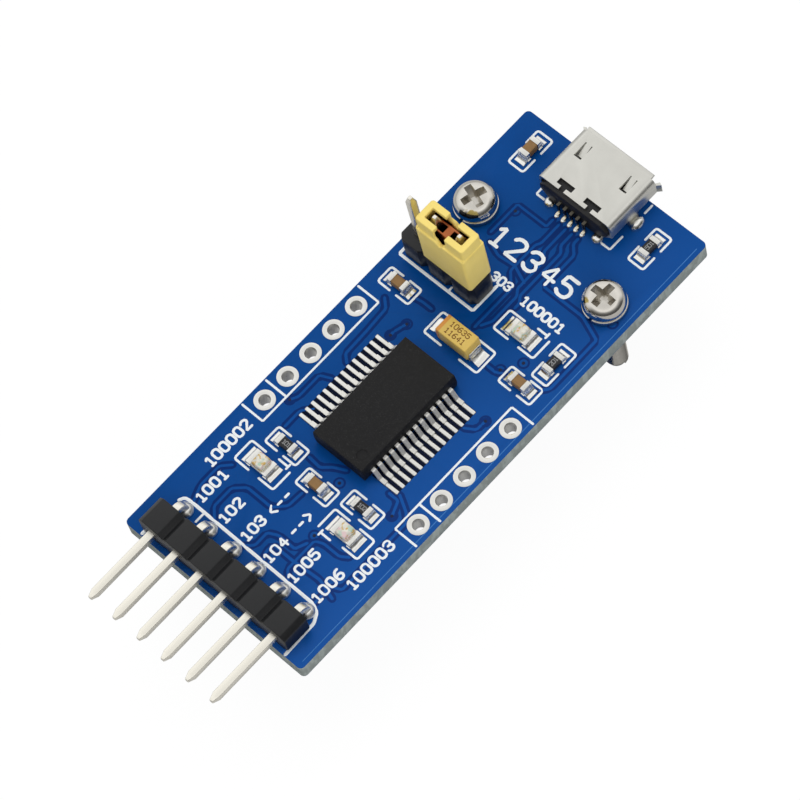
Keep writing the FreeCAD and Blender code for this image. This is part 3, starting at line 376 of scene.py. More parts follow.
def mesh_object(name, bm, finishes=()):
    """A linked object made from a bmesh, which it frees."""
    mesh = bpy.data.meshes.new(name)
    bm.to_mesh(mesh)
    bm.free()
    for finish in finishes:
        mesh.materials.append(finish)
    made = bpy.data.objects.new(name, mesh)
    bpy.context.scene.collection.objects.link(made)
    return made


def new_piece(name, bm, finishes, stands_for=(), sharp=35):
    """Makes a piece that rides on the body, with soft shading up to that many degrees."""
    piece = mesh_object(name, bm, finishes)
    piece.data.shade_smooth()
    piece.data.set_sharp_from_angle(angle=radians(sharp))
    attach(piece, BODY)
    if stands_for:
        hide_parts(*stands_for)


def bevel(bm, edges, width, segments):
    """Rounds edges by that many millimetres."""
    bmesh.ops.bevel(
        bm,
        geom=edges,
        offset=width * MM,
        offset_type="OFFSET",
        segments=segments,
        profile=0.5,
        affect="EDGES",
        clamp_overlap=True,
        material=-1,
    )


def rounded(node, width, segments=2):
    """A CAD node as a bmesh, with flat faces joined and, unless width is nought, edges rounded."""
    bm = bmesh.new()
    bm.from_mesh(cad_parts[node].data)
    bmesh.ops.remove_doubles(bm, verts=bm.verts, dist=CAD_MERGE * MM)
    bmesh.ops.dissolve_limit(bm, angle_limit=radians(FLAT_BEND), verts=bm.verts, edges=bm.edges)
    if width:
        least = radians(SHARP_BEND)
        edges = [edge for edge in bm.edges if edge.is_manifold and edge.calc_face_angle() > least]
        bevel(bm, edges, width, segments)
        bmesh.ops.dissolve_degenerate(bm, dist=SLIVER * MM, edges=bm.edges)
    return bm


def dress(nodes, width, finish, segments=2):
    """Replaces each CAD node by a copy with rounded edges and its finish."""
    for node in nodes:
        new_piece(node + "_dressed", rounded(node, width, segments), [finish], [node])


def turned(bm, section, centre, steps):
    """Turns a section of (radius, height) in millimetres about an upright axis."""
    middle = Vector((centre[0] * MM, centre[1] * MM, 0))
    verts = [bm.verts.new(middle + Vector((out * MM, 0, up * MM))) for out, up in section]
    edges = [bm.edges.new(pair) for pair in zip(verts, verts[1:])]
    bmesh.ops.spin(
        bm,
        geom=verts + edges,
        cent=middle,
        axis=(0, 0, 1),
        angle=2 * pi,
        steps=steps,
        use_merge=True,
    )
    bmesh.ops.remove_doubles(bm, verts=bm.verts, dist=MERGE * MM)


def mound(bm, centre, half):
    """A rounded heap of solder on the board's top, with half sizes in millimetres."""
    place = Matrix.Translation((centre[0] * MM, centre[1] * MM, BOARD_TOP * MM))
    made = bmesh.ops.create_uvsphere(
        bm, u_segments=20, v_segments=12, radius=MM, matrix=place @ Matrix.Diagonal((*half, 1))
    )
    near = [part for vert in made["verts"] for part in (vert, *vert.link_edges, *vert.link_faces)]
    cut = bmesh.ops.bisect_plane(
        bm,
        geom=list(dict.fromkeys(near)),
        plane_co=(0, 0, BOARD_TOP * MM),
        plane_no=(0, 0, 1),
        clear_inner=True,
    )
    rim = [part for part in cut["geom_cut"] if isinstance(part, bmesh.types.BMEdge)]
    bmesh.ops.edgeloop_fill(bm, edges=rim)


BLOCK_SUNK = 0.03


def block(bm, centre, size):
    """A box whose middle lies just under the board's top, with sizes in millimetres."""
    spot = Vector((*centre, BOARD_TOP - BLOCK_SUNK)) * MM
    scale = Matrix.Diagonal((*[part * MM for part in size], 1))
    bmesh.ops.create_cube(bm, size=1, matrix=Matrix.Translation(spot) @ scale)


# A pad's flat height, its slope and stretch, and the share of its own height that it keeps
PAD_HEIGHT = 0.07
PAD_SLOPE = 0.26
PAD_STRETCH = 0.35
PAD_KEPT = 0.3


def climb(bm, parts):
    """Makes each pad's solder flat outside and hollow-sloped up to the end of its part.

    A part is a node, how high its solder climbs and how much further out its pad reaches.
    """
    boxes = [(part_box(node), rise * MM, reach * MM) for node, rise, reach in parts]
    flat = (BOARD_TOP + PAD_HEIGHT) * MM
    for vert in bm.verts:
        (low, high), rise, reach = min(
            boxes, key=lambda item: ((item[0][0] + item[0][1]) / 2 - vert.co).length
        )
        axis = 0 if high.x - low.x > high.y - low.y else 1
        way = vert.co[axis] - (low[axis] + high[axis]) / 2
        out = abs(way) - (high[axis] - low[axis]) / 2
        if out > 0:
            vert.co[axis] += (reach if way > 0 else -reach) * min(1, out / (PAD_STRETCH * MM))
        if vert.co.z > flat:
            near = max(0, min(1, 1 - out / (PAD_SLOPE * MM))) ** 2
            kept = (vert.co.z - flat) * (PAD_KEPT + (1 - PAD_KEPT) * near)
            vert.co.z = flat + kept + rise * near


def tidy_shell(bm):
    """Joins points that meet and turns the faces outwards."""
    bmesh.ops.remove_doubles(bm, verts=bm.verts, dist=MERGE * MM)
    bmesh.ops.recalc_face_normals(bm, faces=bm.faces)
    return bm


# Lines on the board: each sign's strokes lie on a grid four wide and six high
GRID_HIGH = 6
DIGITS = {
    "0": [[(1, 0), (3, 0), (4, 1), (4, 5), (3, 6), (1, 6), (0, 5), (0, 1), (1, 0)]],
    "1": [[(0.8, 4.8), (2.2, 6), (2.2, 0)], [(1, 0), (3.4, 0)]],
    "2": [[(0, 5), (1, 6), (3, 6), (4, 5), (4, 4), (0, 0), (4, 0)]],
    "3": [
        [(0, 5), (1, 6), (3, 6), (4, 5), (4, 4), (3, 3.1), (1.6, 3.1)],
        [(3, 3.1), (4, 2), (4, 1), (3, 0), (1, 0), (0, 1)],
    ],
    "4": [[(3, 0), (3, 6), (0, 2), (4.2, 2)]],
    "5": [
        [(3.8, 6), (0.2, 6), (0, 3.3), (1, 3.7), (3, 3.7), (4, 2.7)]
        + [(4, 1), (3, 0), (1, 0), (0, 0.9)],
    ],
    "6": [
        [(3.6, 6), (1.8, 6), (0, 4), (0, 1), (1, 0), (3, 0), (4, 1)]
        + [(4, 2.4), (3, 3.3), (1, 3.3), (0, 2.4)],
    ],
    "-": [[(0.7, 3), (3.3, 3)]],
    "<": [[(3.4, 5.4), (0.4, 3), (3.4, 0.6)]],
    ">": [[(0.6, 5.4), (3.6, 3), (0.6, 0.6)]],
}

# Which way a printed mark runs, and which way is up in it
ACROSS = ((1, 0), (0, 1))
ALONG = ((0, 1), (-1, 0))
UNDERNEATH = ((0, 1), (1, 0))


def digits(text, start, ways, high, advance):
    """Strokes of plain digits, dashes and arrows from a start point."""
    way, rise = ways
    lines = []
    size = high / GRID_HIGH
    for place, sign in enumerate(text):
        for stroke in DIGITS[sign]:
            spots = [(place * advance + u * size, v * size) for u, v in stroke]
            lines.append(
                [tuple(start[n] + way[n] * u + rise[n] * v for n in (0, 1)) for u, v in spots]
            )
    return lines


CUT_SHARE = 0.35


def softened_corners(points, cut):
    """The points of a line with each corner cut, so that the line keeps its width round it."""
    closed = points[0] == points[-1]
    ring = points[:-1] if closed else points
    made = []
    for number, here in enumerate(ring):
        spot = Vector(here)
        if not closed and number in (0, len(ring) - 1):
            made.append(spot)
            continue
        for other in (ring[number - 1], ring[(number + 1) % len(ring)]):
            gap = Vector(other) - spot
            made.append(spot + gap.normalized() * min(cut, gap.length * CUT_SHARE))
    return made, closed


ROUND_END_WEIGHTS = [0.15, 0.66]
ROUND_END_PLACE = 0.75
LINE_STEP = 0.01
POINT_STEP = 0.001


def draw_lines(lines, width, level, thick, finish, name):
    """Round-ended raised lines in one piece, each a list of (across, along) in millimetres.

    Their heights differ by a hair, so that no two tops lie in one plane where strokes cross.
    """
    curve = bpy.data.curves.new(name, "CURVE")
    curve.dimensions = "3D"
    curve.bevel_depth = width / 2 * MM
    curve.bevel_resolution = 1
    curve.use_fill_caps = True
    for number, points in enumerate(lines):
        spots, closed = softened_corners(points, width * 0.4)
        weights = [1.0] * len(spots)
        if not closed:
            first = (spots[0] - spots[1]).normalized() * width / 2
            last = (spots[-1] - spots[-2]).normalized() * width / 2
            head = [spots[0] + first, spots[0] + first * ROUND_END_PLACE]
            tail = [spots[-1] + last * ROUND_END_PLACE, spots[-1] + last]
            spots = head + spots + tail
            weights = [*ROUND_END_WEIGHTS, *weights, *reversed(ROUND_END_WEIGHTS)]
        spline = curve.splines.new("POLY")
        spline.points.add(len(spots) - 1)
        spline.use_cyclic_u = closed
        for place, (point, spot, weight) in enumerate(zip(spline.points, spots, weights)):
            step = number % 4 * LINE_STEP + place * POINT_STEP
            point.co = (spot.x * MM, spot.y * MM, step * MM, 1)
            point.radius = weight
    holder = bpy.data.objects.new(name + "_line", curve)
    mesh = bpy.data.meshes.new_from_object(holder)
    bpy.data.objects.remove(holder)
    bpy.data.curves.remove(curve)
    bm = bmesh.new()
    bm.from_mesh(mesh)
    bpy.data.meshes.remove(mesh)
    bmesh.ops.scale(bm, vec=(1, 1, 2 * thick / width), verts=bm.verts)
    bmesh.ops.translate(bm, vec=(0, 0, level * MM), verts=bm.verts)
    new_piece(name, tidy_shell(bm), [finish], sharp=80)


BRACKET_CUT = 0.12
SHORT_END = 0.1


def bracket_pair(low, high, axis, opening, short=0):
    """Two brackets round a small part, open at the middle of its long sides.

    The axis, 0 or 1, runs along the part; short is the side, -1 or 1, of a bracket cut to an L.
    """
    bottom, top = low[1 - axis], high[1 - axis]
    lines = []
    for side, end in ((-1, low[axis]), (1, high[axis])):
        inner = (low[axis] + high[axis]) / 2 + side * opening / 2
        turn = end - side * BRACKET_CUT
        line = [(inner, top), (turn, top), (end, top - BRACKET_CUT)]
        line += [(end, bottom + BRACKET_CUT), (turn, bottom), (inner, bottom)]
        if side == short:
            line = line[2:] if side > 0 else line[:4]
            far = top - SHORT_END if side > 0 else bottom + SHORT_END
            line[0 if side > 0 else -1] = (end, far)
        lines.append([point[::-1] for point in line] if axis else line)
    return lines


# Low and high corner of a part's brackets, the axis, the opening and an L's side
PART_OUTLINES = [
    ((-7.38, 18.2), (-5.84, 21.62), 1, 0.75),
    ((5.32, 17.8), (6.88, 21.1), 1, 0.75),
    ((6.22, 5.95), (7.76, 9.35), 1, 0.75),
    ((-8.2, 4.32), (-5.02, 5.88), 0, 0.7),
    ((4.6, 4.0), (7.8, 5.56), 0, 0.7),
    ((-1.52, -11.88), (1.66, -10.32), 0, 0.7),
    ((-5.64, -10.9), (-2.42, -9.34), 0, 0.7),
    ((2.34, -11.01), (5.55, -9.45), 0, 0.7),
    ((1.33, 7.02), (5.41, 8.94), 0, 1.1, 1),
    ((-6.46, -13.4), (-2.38, -11.48), 0, 1.1, 1),
    ((2.32, -13.43), (6.4, -11.51), 0, 1.1, -1),
    ((-2.54, 3.42), (2.94, 5.58), 0, 1.9),
]

STRIP_LINES = [
    [(-7.3, -18.55), (-7.1, -18.15), (-6.6, -18.05), (6.3, -18.1)]
    + [(7.0, -18.45), (7.42, -19.2), (7.5, -22.35)],
    [(-7.55, -22.3), (-7.55, -20.6)],
    [(-8.5, 10.0), (-8.5, 7.08), (-0.82, 7.08), (-0.82, 9.75)],
]

SINGLE_LINES = [
    [(-5.08, -18.1), (-5.08, -19.0)],
    [(-3.4, 7.08), (-3.4, 7.5)],
    [(3.78, 18.9), (3.78, 17.5), (2.95, 17.5)],
    [(3.78, 21.5), (3.78, 22.3)],
    [(-3.78, 18.9), (-3.78, 17.5), (-2.95, 17.5)],
]

LAMP_MARKS = [
    [(4.04, 9.12), (4.99, 9.12)],
    [(4.99, 8.9), (4.99, 9.34)],
    [(-3.75, -11.3), (-2.8, -11.3)],
    [(-2.8, -11.52), (-2.8, -11.08)],
    [(2.78, -13.6), (3.75, -13.6)],
    [(2.78, -13.82), (2.78, -13.38)],
]

TRACKS = [
    [(-0.65, 16.6), (-0.65, 14.6), (-0.9, 14.2), (-0.9, 11.4), (0.2, 10.3), (0.2, 6.2)],
    [(0.0, 16.6), (0.0, 14.2), (0.55, 13.6), (0.55, 10.6), (0.95, 10.1), (0.95, 7.4), (0.5, 6.6)],
    [(0.65, 16.6), (0.65, 15.4), (1.1, 14.9), (1.1, 10.3), (1.5, 9.8), (1.5, 9.3)],
    [(1.3, 16.6), (1.3, 16.1), (2.0, 15.4), (2.0, 12.0), (6.0, 12.0)]
    + [(8.1, 11.2), (8.1, 6.0), (7.6, 5.4)],
    [(-1.3, 16.6), (-1.3, 15.9), (-4.3, 15.9), (-4.3, 12.9)],
    [(-3.7, 12.2), (-2.5, 11.75), (-0.9, 11.9), (0.6, 11.3)],
    [(-4.0, 3.0), (-4.3, 2.0), (-4.3, 1.6)],
    [(-6.8, 3.6), (-6.1, 3.0), (-5.95, 0.6), (-5.9, -1.7), (-5.3, -2.2)],
    [(-5.3, -3.9), (-6.2, -4.3), (-6.2, -6.6), (-6.55, -7.2)],
    [(5.3, -0.5), (6.1, 0.0), (6.15, 0.9)],
    [(4.6, -8.0), (5.5, -8.0), (6.0, -9.2)],
    [(0.8, -8.7), (-0.15, -9.15), (-0.9, -9.8), (-2.1, -9.7)],
    [(-6.35, -18.0), (-6.9, -16.6), (-6.9, -14.6), (-6.2, -13.9)],
    [(-3.8, -18.3), (-4.9, -17.2), (-4.9, -15.3), (-4.0, -14.5)]
    + [(-1.5, -14.5), (-0.6, -13.6), (-0.5, -12.2)],
    [(-1.27, -18.4), (-0.3, -17.5), (-0.3, -16.2), (0.5, -15.8), (2.2, -15.8), (2.6, -14.9)],
    [(1.27, -18.4), (0.7, -17.4), (0.7, -16.6), (2.6, -16.6), (5.4, -16.4), (7.1, -16.9)],
    [(3.81, -18.2), (2.9, -17.3), (2.9, -14.4), (3.6, -14.1), (5.2, -14.1), (5.8, -13.7)],
    [(6.35, -18.0), (6.35, -16.3), (7.2, -15.9), (7.2, -8.9), (6.6, -8.3), (5.3, -7.6)],
    [(-4.6, -6.6), (-5.3, -7.4), (-5.3, -9.0)],
    [(3.2, 4.4), (4.1, 4.4), (4.6, 4.75)],
    [(-3.4, 5.2), (-4.3, 5.2), (-4.9, 5.1)],
]

VIAS = [(-4.05, 15.38), (2.6, -14.09), (1.12, -9.79), (4.14, 4.77), (5.12, 6.3), (-3.97, 3.05)]
VIAS += [(6.15, 0.93), (-4.3, 1.6), (-6.55, -7.2), (6.0, -9.2), (8.1, 13.0)]

COPPER_EDGE = [(8.85, 21.7), (8.85, -21.9)]

UNDERSIDE_BOXES = [
    [(-7.5, -20.0), (7.5, -20.0), (7.5, -17.8), (-7.5, -17.8), (-7.5, -20.0)],
    [(-8.5, 7.3), (-0.9, 7.3), (-0.9, 9.9), (-8.5, 9.9), (-8.5, 7.3)],
]

HEADER_PRINT = [
    ("1001", (-5.8, -17.6)),
    ("102", (-3.25, -17.7)),
    ("103", (-0.96, -17.68)),
    ("104", (1.56, -17.85)),
    ("1005", (4.07, -17.85)),
    ("1006", (6.57, -17.85)),
    ("<--", (-0.84, -14.9)),
    ("-->", (1.58, -15.1)),
]

# Text, start, ways, height and advance of each small mark
SMALL_PRINT = [(*mark, ALONG, 0.82, 0.79) for mark in HEADER_PRINT]
SMALL_PRINT += [
    ("100001", (1.46, 9.83), ACROSS, 0.76, 0.72),
    ("100002", (-7.29, -15.05), ALONG, 0.84, 0.78),
    ("100003", (7.87, -15.4), ALONG, 0.84, 0.8),
    ("303", (-1.7, 9.95), ACROSS, 0.7, 0.68),
]
LARGE_PRINT = ("12345", (-4.05, 12.2), ACROSS, 1.68, 1.72)


def row_boxes():
    """Printed frames of the plated rows, with a divider before the last hole."""
    lines = []
    for side in (-1, 1):
        inner = side * 6.9
        edge = side * 9.05
        lines.append([(edge, 3.05), (inner, 3.05), (inner, -9.82), (edge, -9.82)])
        lines.append([(edge, -7.2), (inner, -7.2)])
    return lines


def circle_line(centre, radius, sides=14):
    turns = [2 * pi * number / sides for number in range(sides)]
    points = [(centre[0] + radius * cos(turn), centre[1] + radius * sin(turn)) for turn in turns]
    return points + points[:1]


class ADAPTER_OT_board(bpy.types.Operator):
    """Dresses the circuit board: solder mask, tracks, vias and printing on both faces"""

    bl_idname = "adapter.board"
    bl_label = "Circuit board"

    def execute(self, context):
        look = context.scene.adapter_board
        mask = board_finish("solder_mask", look.mask, look, 0.3)
        raised = board_finish("mask_over_track", shade_of(look.mask, 1.12), look, 0.28)
        bare = board_finish("mask_in_gap", look.gap, look, 0.4)
        dress(["circuit_board"], 0.06, mask)
        ink = ink_finish(look)
        # Painted shade: a small dark disk on each via stands for the shade in its bore
        bore_shade = plastic("via_bore_painted_shade", shade_of(look.gap, 0.25), 0.5)
        pale = plastic("copper_edge", tone(52, 112, 178), 0.3, swing=0.15, depth=0.001)

        halos = [circle_line(spot, 0.42) for spot in VIAS]
        bore_rings = [circle_line(spot, 0.07, 6) for spot in VIAS]
        outlines = SINGLE_LINES + LAMP_MARKS + row_boxes()
        for sizes in PART_OUTLINES:
            outlines += bracket_pair(*sizes)
        small = [line for mark in SMALL_PRINT for line in digits(*mark)]
        width = look.outline / MM
        # Width and thickness of each layer; what lies under another is thinner
        layers = [
            (TRACKS, look.clearance / MM, 0.006, bare, "track_clearances"),
            (TRACKS, look.track / MM, 0.012, raised, "tracks"),
            (halos, 0.17, 0.008, bare, "via_clearances"),
            (bore_rings, 0.16, 0.016, bore_shade, "vias"),
            ([COPPER_EDGE], 0.07, 0.008, pale, "copper_edge_line"),
            (outlines, width, 0.02, ink, "printed_outlines"),
            (STRIP_LINES, width * 1.45, 0.02, ink, "printed_strip_outlines"),
            (small, width * 1.1, 0.02, ink, "printed_digits"),
            (digits(*LARGE_PRINT), 0.32, 0.022, ink, "printed_number"),
        ]
        for lines, wide, thick, finish, name in layers:
            draw_lines(lines, wide, BOARD_TOP, thick, finish, name)

        under = row_boxes() + UNDERSIDE_BOXES
        for number in range(6):
            spot = (-6.6 + number * PITCH, -17.2)
            under += digits("%d" % (number + 1), spot, UNDERNEATH, 0.9, 0.8)
        draw_lines(under, width, 0, 0.02, ink, "printed_underside")
        return {"FINISHED"}


HOLE_ROWS = {"left": -8.0, "right": 8.0}
ROW_MIDDLE = -3.38
HEADER_LEGS = [-6.35 + PITCH * number for number in range(6)]
HEADER_ROW = -18.9
SELECTOR_PINS = [-7.22 + PITCH * number for number in range(3)]
SELECTOR_ROW = 8.6

# Radius and height over the face of a plated ring, from its rim into its hole
RING_SECTION = [(0.875, 0), (0.862, 0.035), (0.82, 0.048), (0.55, 0.048), (0.49, 0.02)]
RING_SECTION += [(0.475, -0.05)]

# Radius and height of the solder round a square pin
HEAP_SECTION = [(0.3, 0), (0.7, 0), (0.71, 0.06), (0.69, 0.14), (0.63, 0.25), (0.55, 0.35)]
HEAP_SECTION += [(0.47, 0.42), (0.4, 0.47), (0.3, 0.5), (0.3, 0)]


class ADAPTER_OT_plating(bpy.types.Operator):
    """Replaces the plated holes by tinned rings with rounded edges and a barrel in the board"""

    bl_idname = "adapter.plating"
    bl_label = "Plated holes"

    def execute(self, context):
        tin = metal("tinned_ring", context.scene.adapter_metal.tin, 0.3, 0.3, 0.06, 0.004)
        section = [(out, BOARD_TOP + up) for out, up in RING_SECTION]
        section += [(out, -up) for out, up in reversed(RING_SECTION)]
        section += section[:1]
        for side, across in HOLE_ROWS.items():
            bm = bmesh.new()
            for number in range(5):
                turned(bm, section, (across, ROW_MIDDLE + (number - 2) * PITCH), 36)
            node = "plated_holes_" + side
            new_piece("tinned_holes_" + side, tidy_shell(bm), [tin], [node])
        return {"FINISHED"}


def solder_heap(bm, centre, root, way):
    """A rounded heap of solder on its pad, which goes up or down from its root."""
    turned(bm, [(out, root + way * up) for out, up in HEAP_SECTION], centre, 32)


class ADAPTER_OT_strips(bpy.types.Operator):
    """Dresses the two pin strips, their pins and the solder that holds them"""

    bl_idname = "adapter.strips"
    bl_label = "Pin strips"

    def execute(self, context):
        metals = context.scene.adapter_metal
        strip = context.scene.adapter_plastic.strip
        black = plastic("strip_plastic", strip, 0.4, 0.1, 0.2, 0.006, shine=0.42)
        dress(["header_block", "selector_block"], 0.07, black)
        pin = metals.pin
        plated = metal("pin_metal", pin, 0.28, 0.5, 0.05, 0.0002, (1, 0.2, 0.2), detail=1)
        pins = numbered("header_pin", 6) + numbered("selector_pin", 3)
        dress(pins, 0.05, plated)
        solder = metal("solder", metals.tin, 0.34, 0.4, 0.06, 0.01)
        bm = bmesh.new()
        for across in HEADER_LEGS:
            solder_heap(bm, (across, HEADER_ROW), BOARD_TOP, 1)
            solder_heap(bm, (across, HEADER_ROW), 0, -1)
        new_piece("header_fillets", tidy_shell(bm), [solder], ["header_solder"])
        bm = bmesh.new()
        for across in SELECTOR_PINS:
            solder_heap(bm, (across, SELECTOR_ROW), 0, -1)
        new_piece("selector_fillets", tidy_shell(bm), [solder], ["selector_solder"])
        return {"FINISHED"}


class ADAPTER_OT_jumper(bpy.types.Operator):
    """Dresses the jumper cap and the spring clip inside it"""

    bl_idname = "adapter.jumper"
    bl_label = "Jumper"

    def execute(self, context):
        cap = context.scene.adapter_plastic.cap
        yellow = plastic("cap_plastic", cap, 0.42, 0.15, 0.05, 0.004)
        dress(["jumper_cap"], 0.13, yellow, 3)
        # Painted shade: the clip's red-brown colour stands for the shade inside the yellow cap
        copper = metal("clip_metal", tone(186, 108, 68), 0.3, 0.2, 0.25, 0.003)
        dress(["jumper_clip"], 0.03, copper)
        return {"FINISHED"}


# Place and half sizes of the solder at the right-hand feet, which the left-hand ones mirror
FOOT_MOUNDS = [((4.0, 20.42), (0.5, 0.72, 0.62)), ((2.45, 17.58), (0.5, 0.52, 0.48))]
CONTACT_PITCH = 0.65

# The upper lip's length and bend in millimetres, and how steeply it droops
LIP_LONG = 0.42
LIP_BEND = 0.3
LIP_DROOP = 0.55


class ADAPTER_OT_receptacle(bpy.types.Operator):
    """Dresses the receptacle: shell, insert, contacts and solder"""

    bl_idname = "adapter.receptacle"
    bl_label = "Receptacle"

    def execute(self, context):
        metals = context.scene.adapter_metal
        steel = metal("shell_steel", metals.shell, 0.34, 0.3, 0.06, 0.002)
        bm = rounded("usb_shell", 0.06, 3)
        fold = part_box("usb_shell")[1].y - LIP_LONG * MM
        lip_under = BOARD_TOP * MM + 2.3 * MM
        for vert in bm.verts:
            if vert.co.y > fold and vert.co.z > lip_under:
                vert.co.z -= LIP_DROOP * min(LIP_BEND * MM, vert.co.y - fold)
        new_piece("usb_shell_dressed", bm, [steel], ["usb_shell"])
        dark = plastic("insert_plastic", tone(30, 30, 31), 0.5)
        dress(["usb_insert"], 0.04, dark)
        gold = metal("contact_metal", tone(226, 218, 196), 0.25, 0.1, 0.1, shadow=(2.05, 2.3))
        dress(["usb_contacts"], 0.02, gold)
        solder = metal("shell_solder", metals.tin, 0.12, 0.5, 0.1, 0.02)
        bm = bmesh.new()
        for side in (-1, 1):
            for (across, along), half in FOOT_MOUNDS:
                mound(bm, (side * across, along), half)
        for number in range(5):
            mound(bm, ((number - 2) * CONTACT_PITCH, 17.13), (0.21, 0.3, 0.17))
        new_piece("usb_solder_mounds", tidy_shell(bm), [solder], ["usb_solder"], 60)
        return {"FINISHED"}


LEAD_PITCH = 0.65
LEADS_A_ROW = 14
LEAD_WIDENING = 0.2

# Distances from the chip's middle at which a lead's shoulder, its knee and its foot begin
SHOULDER, KNEE, FOOT = 2.7, 3.08, 3.5
BEND_SHIFT = 0.1

# Width of a bevel, and the angles between which it rounds a lead's edges
LEAD_BEVELS = [(0.12, 20, 80), (0.035, 80, 180)]


def soft_leads(node):
    """A row of gull-wing leads with wide soft bends, a little broader than in the CAD."""
    bm = rounded(node, 0)
    centre = (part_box(node)[0].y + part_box(node)[1].y) / 2
    pitch = LEAD_PITCH * MM
    for vert in bm.verts:
        out = abs(vert.co.x) / MM
        shift = -BEND_SHIFT if SHOULDER < out < KNEE else BEND_SHIFT if KNEE < out < FOOT else 0
        vert.co.x += shift * MM * (1 if vert.co.x > 0 else -1)
        step = (round((vert.co.y - centre) / pitch - 0.5) + 0.5) * pitch
        vert.co.y += LEAD_WIDENING * (vert.co.y - centre - step)
    for width, low, high in LEAD_BEVELS:
        angles = [(edge, edge.calc_face_angle(0)) for edge in bm.edges]
        edges = [edge for edge, angle in angles if radians(low) < angle <= radians(high)]
        bevel(bm, edges, width, 3)
    bmesh.ops.dissolve_degenerate(bm, dist=SLIVER * MM, edges=bm.edges)
    return bm


class ADAPTER_OT_chip(bpy.types.Operator):
    """Dresses the interface chip: moulding, leads, pads, and painted shade on the bare mask
    between them
    """

    bl_idname = "adapter.chip"
    bl_label = "Interface chip"

    def execute(self, context):
        chip = context.scene.adapter_plastic.chip
        black = plastic("chip_plastic", chip, 0.55, 0.07, 0.14, 0.006, flecks=0.06, shine=0.22)
        dress(["chip_body"], 0.06, black)
        tin = context.scene.adapter_metal.tin
        bright = metal("lead_metal", shade_of(tin, 1.08), 0.55, 0.15, 0.06, 0.001)
        for node in ("chip_leads_left", "chip_leads_right"):
            new_piece(node + "_dressed", soft_leads(node), [bright], [node], 10)
        wet = metal("chip_pad_solder", tin, 0.26, 0.3, 0.1, 0.02, detail=1)
        look = context.scene.adapter_board
        # Painted shade: the bare mask round the pads is darkened to 0.12 of the gap colour, for
        # the shade between and under the leads
        gap_shade = board_finish("dark_gap_painted_shade", shade_of(look.gap, 0.12), look, 0.5)
        for side, inner in (("left", 0.5), ("right", -0.5)):
            node = "chip_pads_" + side
            low, high = (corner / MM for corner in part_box(node))
            centre = (low + high) / 2
            wide, long = high.x - low.x, high.y - low.y
            bm = bmesh.new()
            for number in range(LEADS_A_ROW):
                along = centre.y + (number - (LEADS_A_ROW - 1) / 2) * LEAD_PITCH
                block(bm, (centre.x, along), (wide, 0.37, 0.25))
            bevel(bm, bm.edges[:], 0.115, 3)
            new_piece(node + "_mounds", tidy_shell(bm), [wet], [node], 60)
            # A dark sheet of painted shade under each row of leads
            bm = bmesh.new()
            block(bm, (centre.x + inner / 2, centre.y), (wide + 0.4, long, 0.08))
            new_piece("bare_between_pads_" + side, bm, [gap_shade])
        return {"FINISHED"}


class ADAPTER_OT_small_parts(bpy.types.Operator):
    """Dresses the chip resistors and capacitors, their ends and all their soldered pads"""

    bl_idname = "adapter.small_parts"
    bl_label = "Small parts"

    def execute(self, context):
        tin = context.scene.adapter_metal.tin
        glaze = plastic("resistor_glaze", tone(34, 34, 36), 0.3, 0.1, 0.15, 0.003)
        clay = plastic("capacitor_ceramic", tone(136, 104, 64), 0.42, 0.08, 0.2, 0.004)
        ends = metal("end_metal", shade_of(tin, 0.95), 0.26, 0.2, 0.14, 0.01)
        solder = metal("pad_solder", shade_of(tin, 1.08), 0.22, 0.6, 0.08, 0.06, detail=1)
        dress(numbered("resistor", 4), 0.04, glaze)
        dress(numbered("capacitor", 4), 0.06, clay)
        cups = numbered("resistor_ends", 4) + numbered("capacitor_ends", 4)
        dress(cups, 0.03, ends)
        bm = rounded("component_pads", 0.1)
        bmesh.ops.subdivide_edges(bm, edges=bm.edges[:], cuts=3, use_grid_fill=True)
        climbs = [(node, 0.2, 0) for node in cups]
        climbs += [(node, 0.14, 0) for node in numbered("lamp_terminals", 3)]
        climbs += [("tantalum_terminals", 0.2, 0.33)]
        climb(bm, climbs)
        new_piece("component_pads_dressed", bm, [solder], ["component_pads"], 50)
        pale = plastic("resistor_mark", tone(150, 150, 150), 0.5, depth=0.001)
        for number, text in enumerate(("501", "201", "101", "102"), 1):
            low, high = (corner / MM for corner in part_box("resistor_%d" % number))
            middle = (low + high) / 2
            if high.y - low.y > high.x - low.x:
                lines = digits(text, (middle.x + 0.16, middle.y - 0.33), ALONG, 0.34, 0.25)
            else:
                lines = digits(text, (middle.x - 0.33, middle.y - 0.16), ACROSS, 0.34, 0.25)
            name = "resistor_mark_%d" % number
            draw_lines(lines, 0.055, high.z, 0.006, pale, name)
        return {"FINISHED"}


class ADAPTER_OT_lamps(bpy.types.Operator):
    """Dresses the indicator lamps: base, ends, clear lens with the die and painted glints in it"""

    bl_idname = "adapter.lamps"
    bl_label = "Indicator lamps"

    def execute(self, context):
        tin = context.scene.adapter_metal.tin
        base = plastic("lamp_base", tone(226, 224, 208), 0.4, 0.1, 0.06)
        ends = metal("lamp_end_metal", tin, 0.25, 0.2, 0.1, 0.01)
        clear = lens_finish("lamp_lens", tone(246, 242, 228))
        dress(numbered("lamp_base", 3), 0.03, base)
        dress(numbered("lamp_terminals", 3), 0.03, ends)
        dress(numbered("lamp_lens", 3), 0.1, clear, 3)
        return {"FINISHED"}


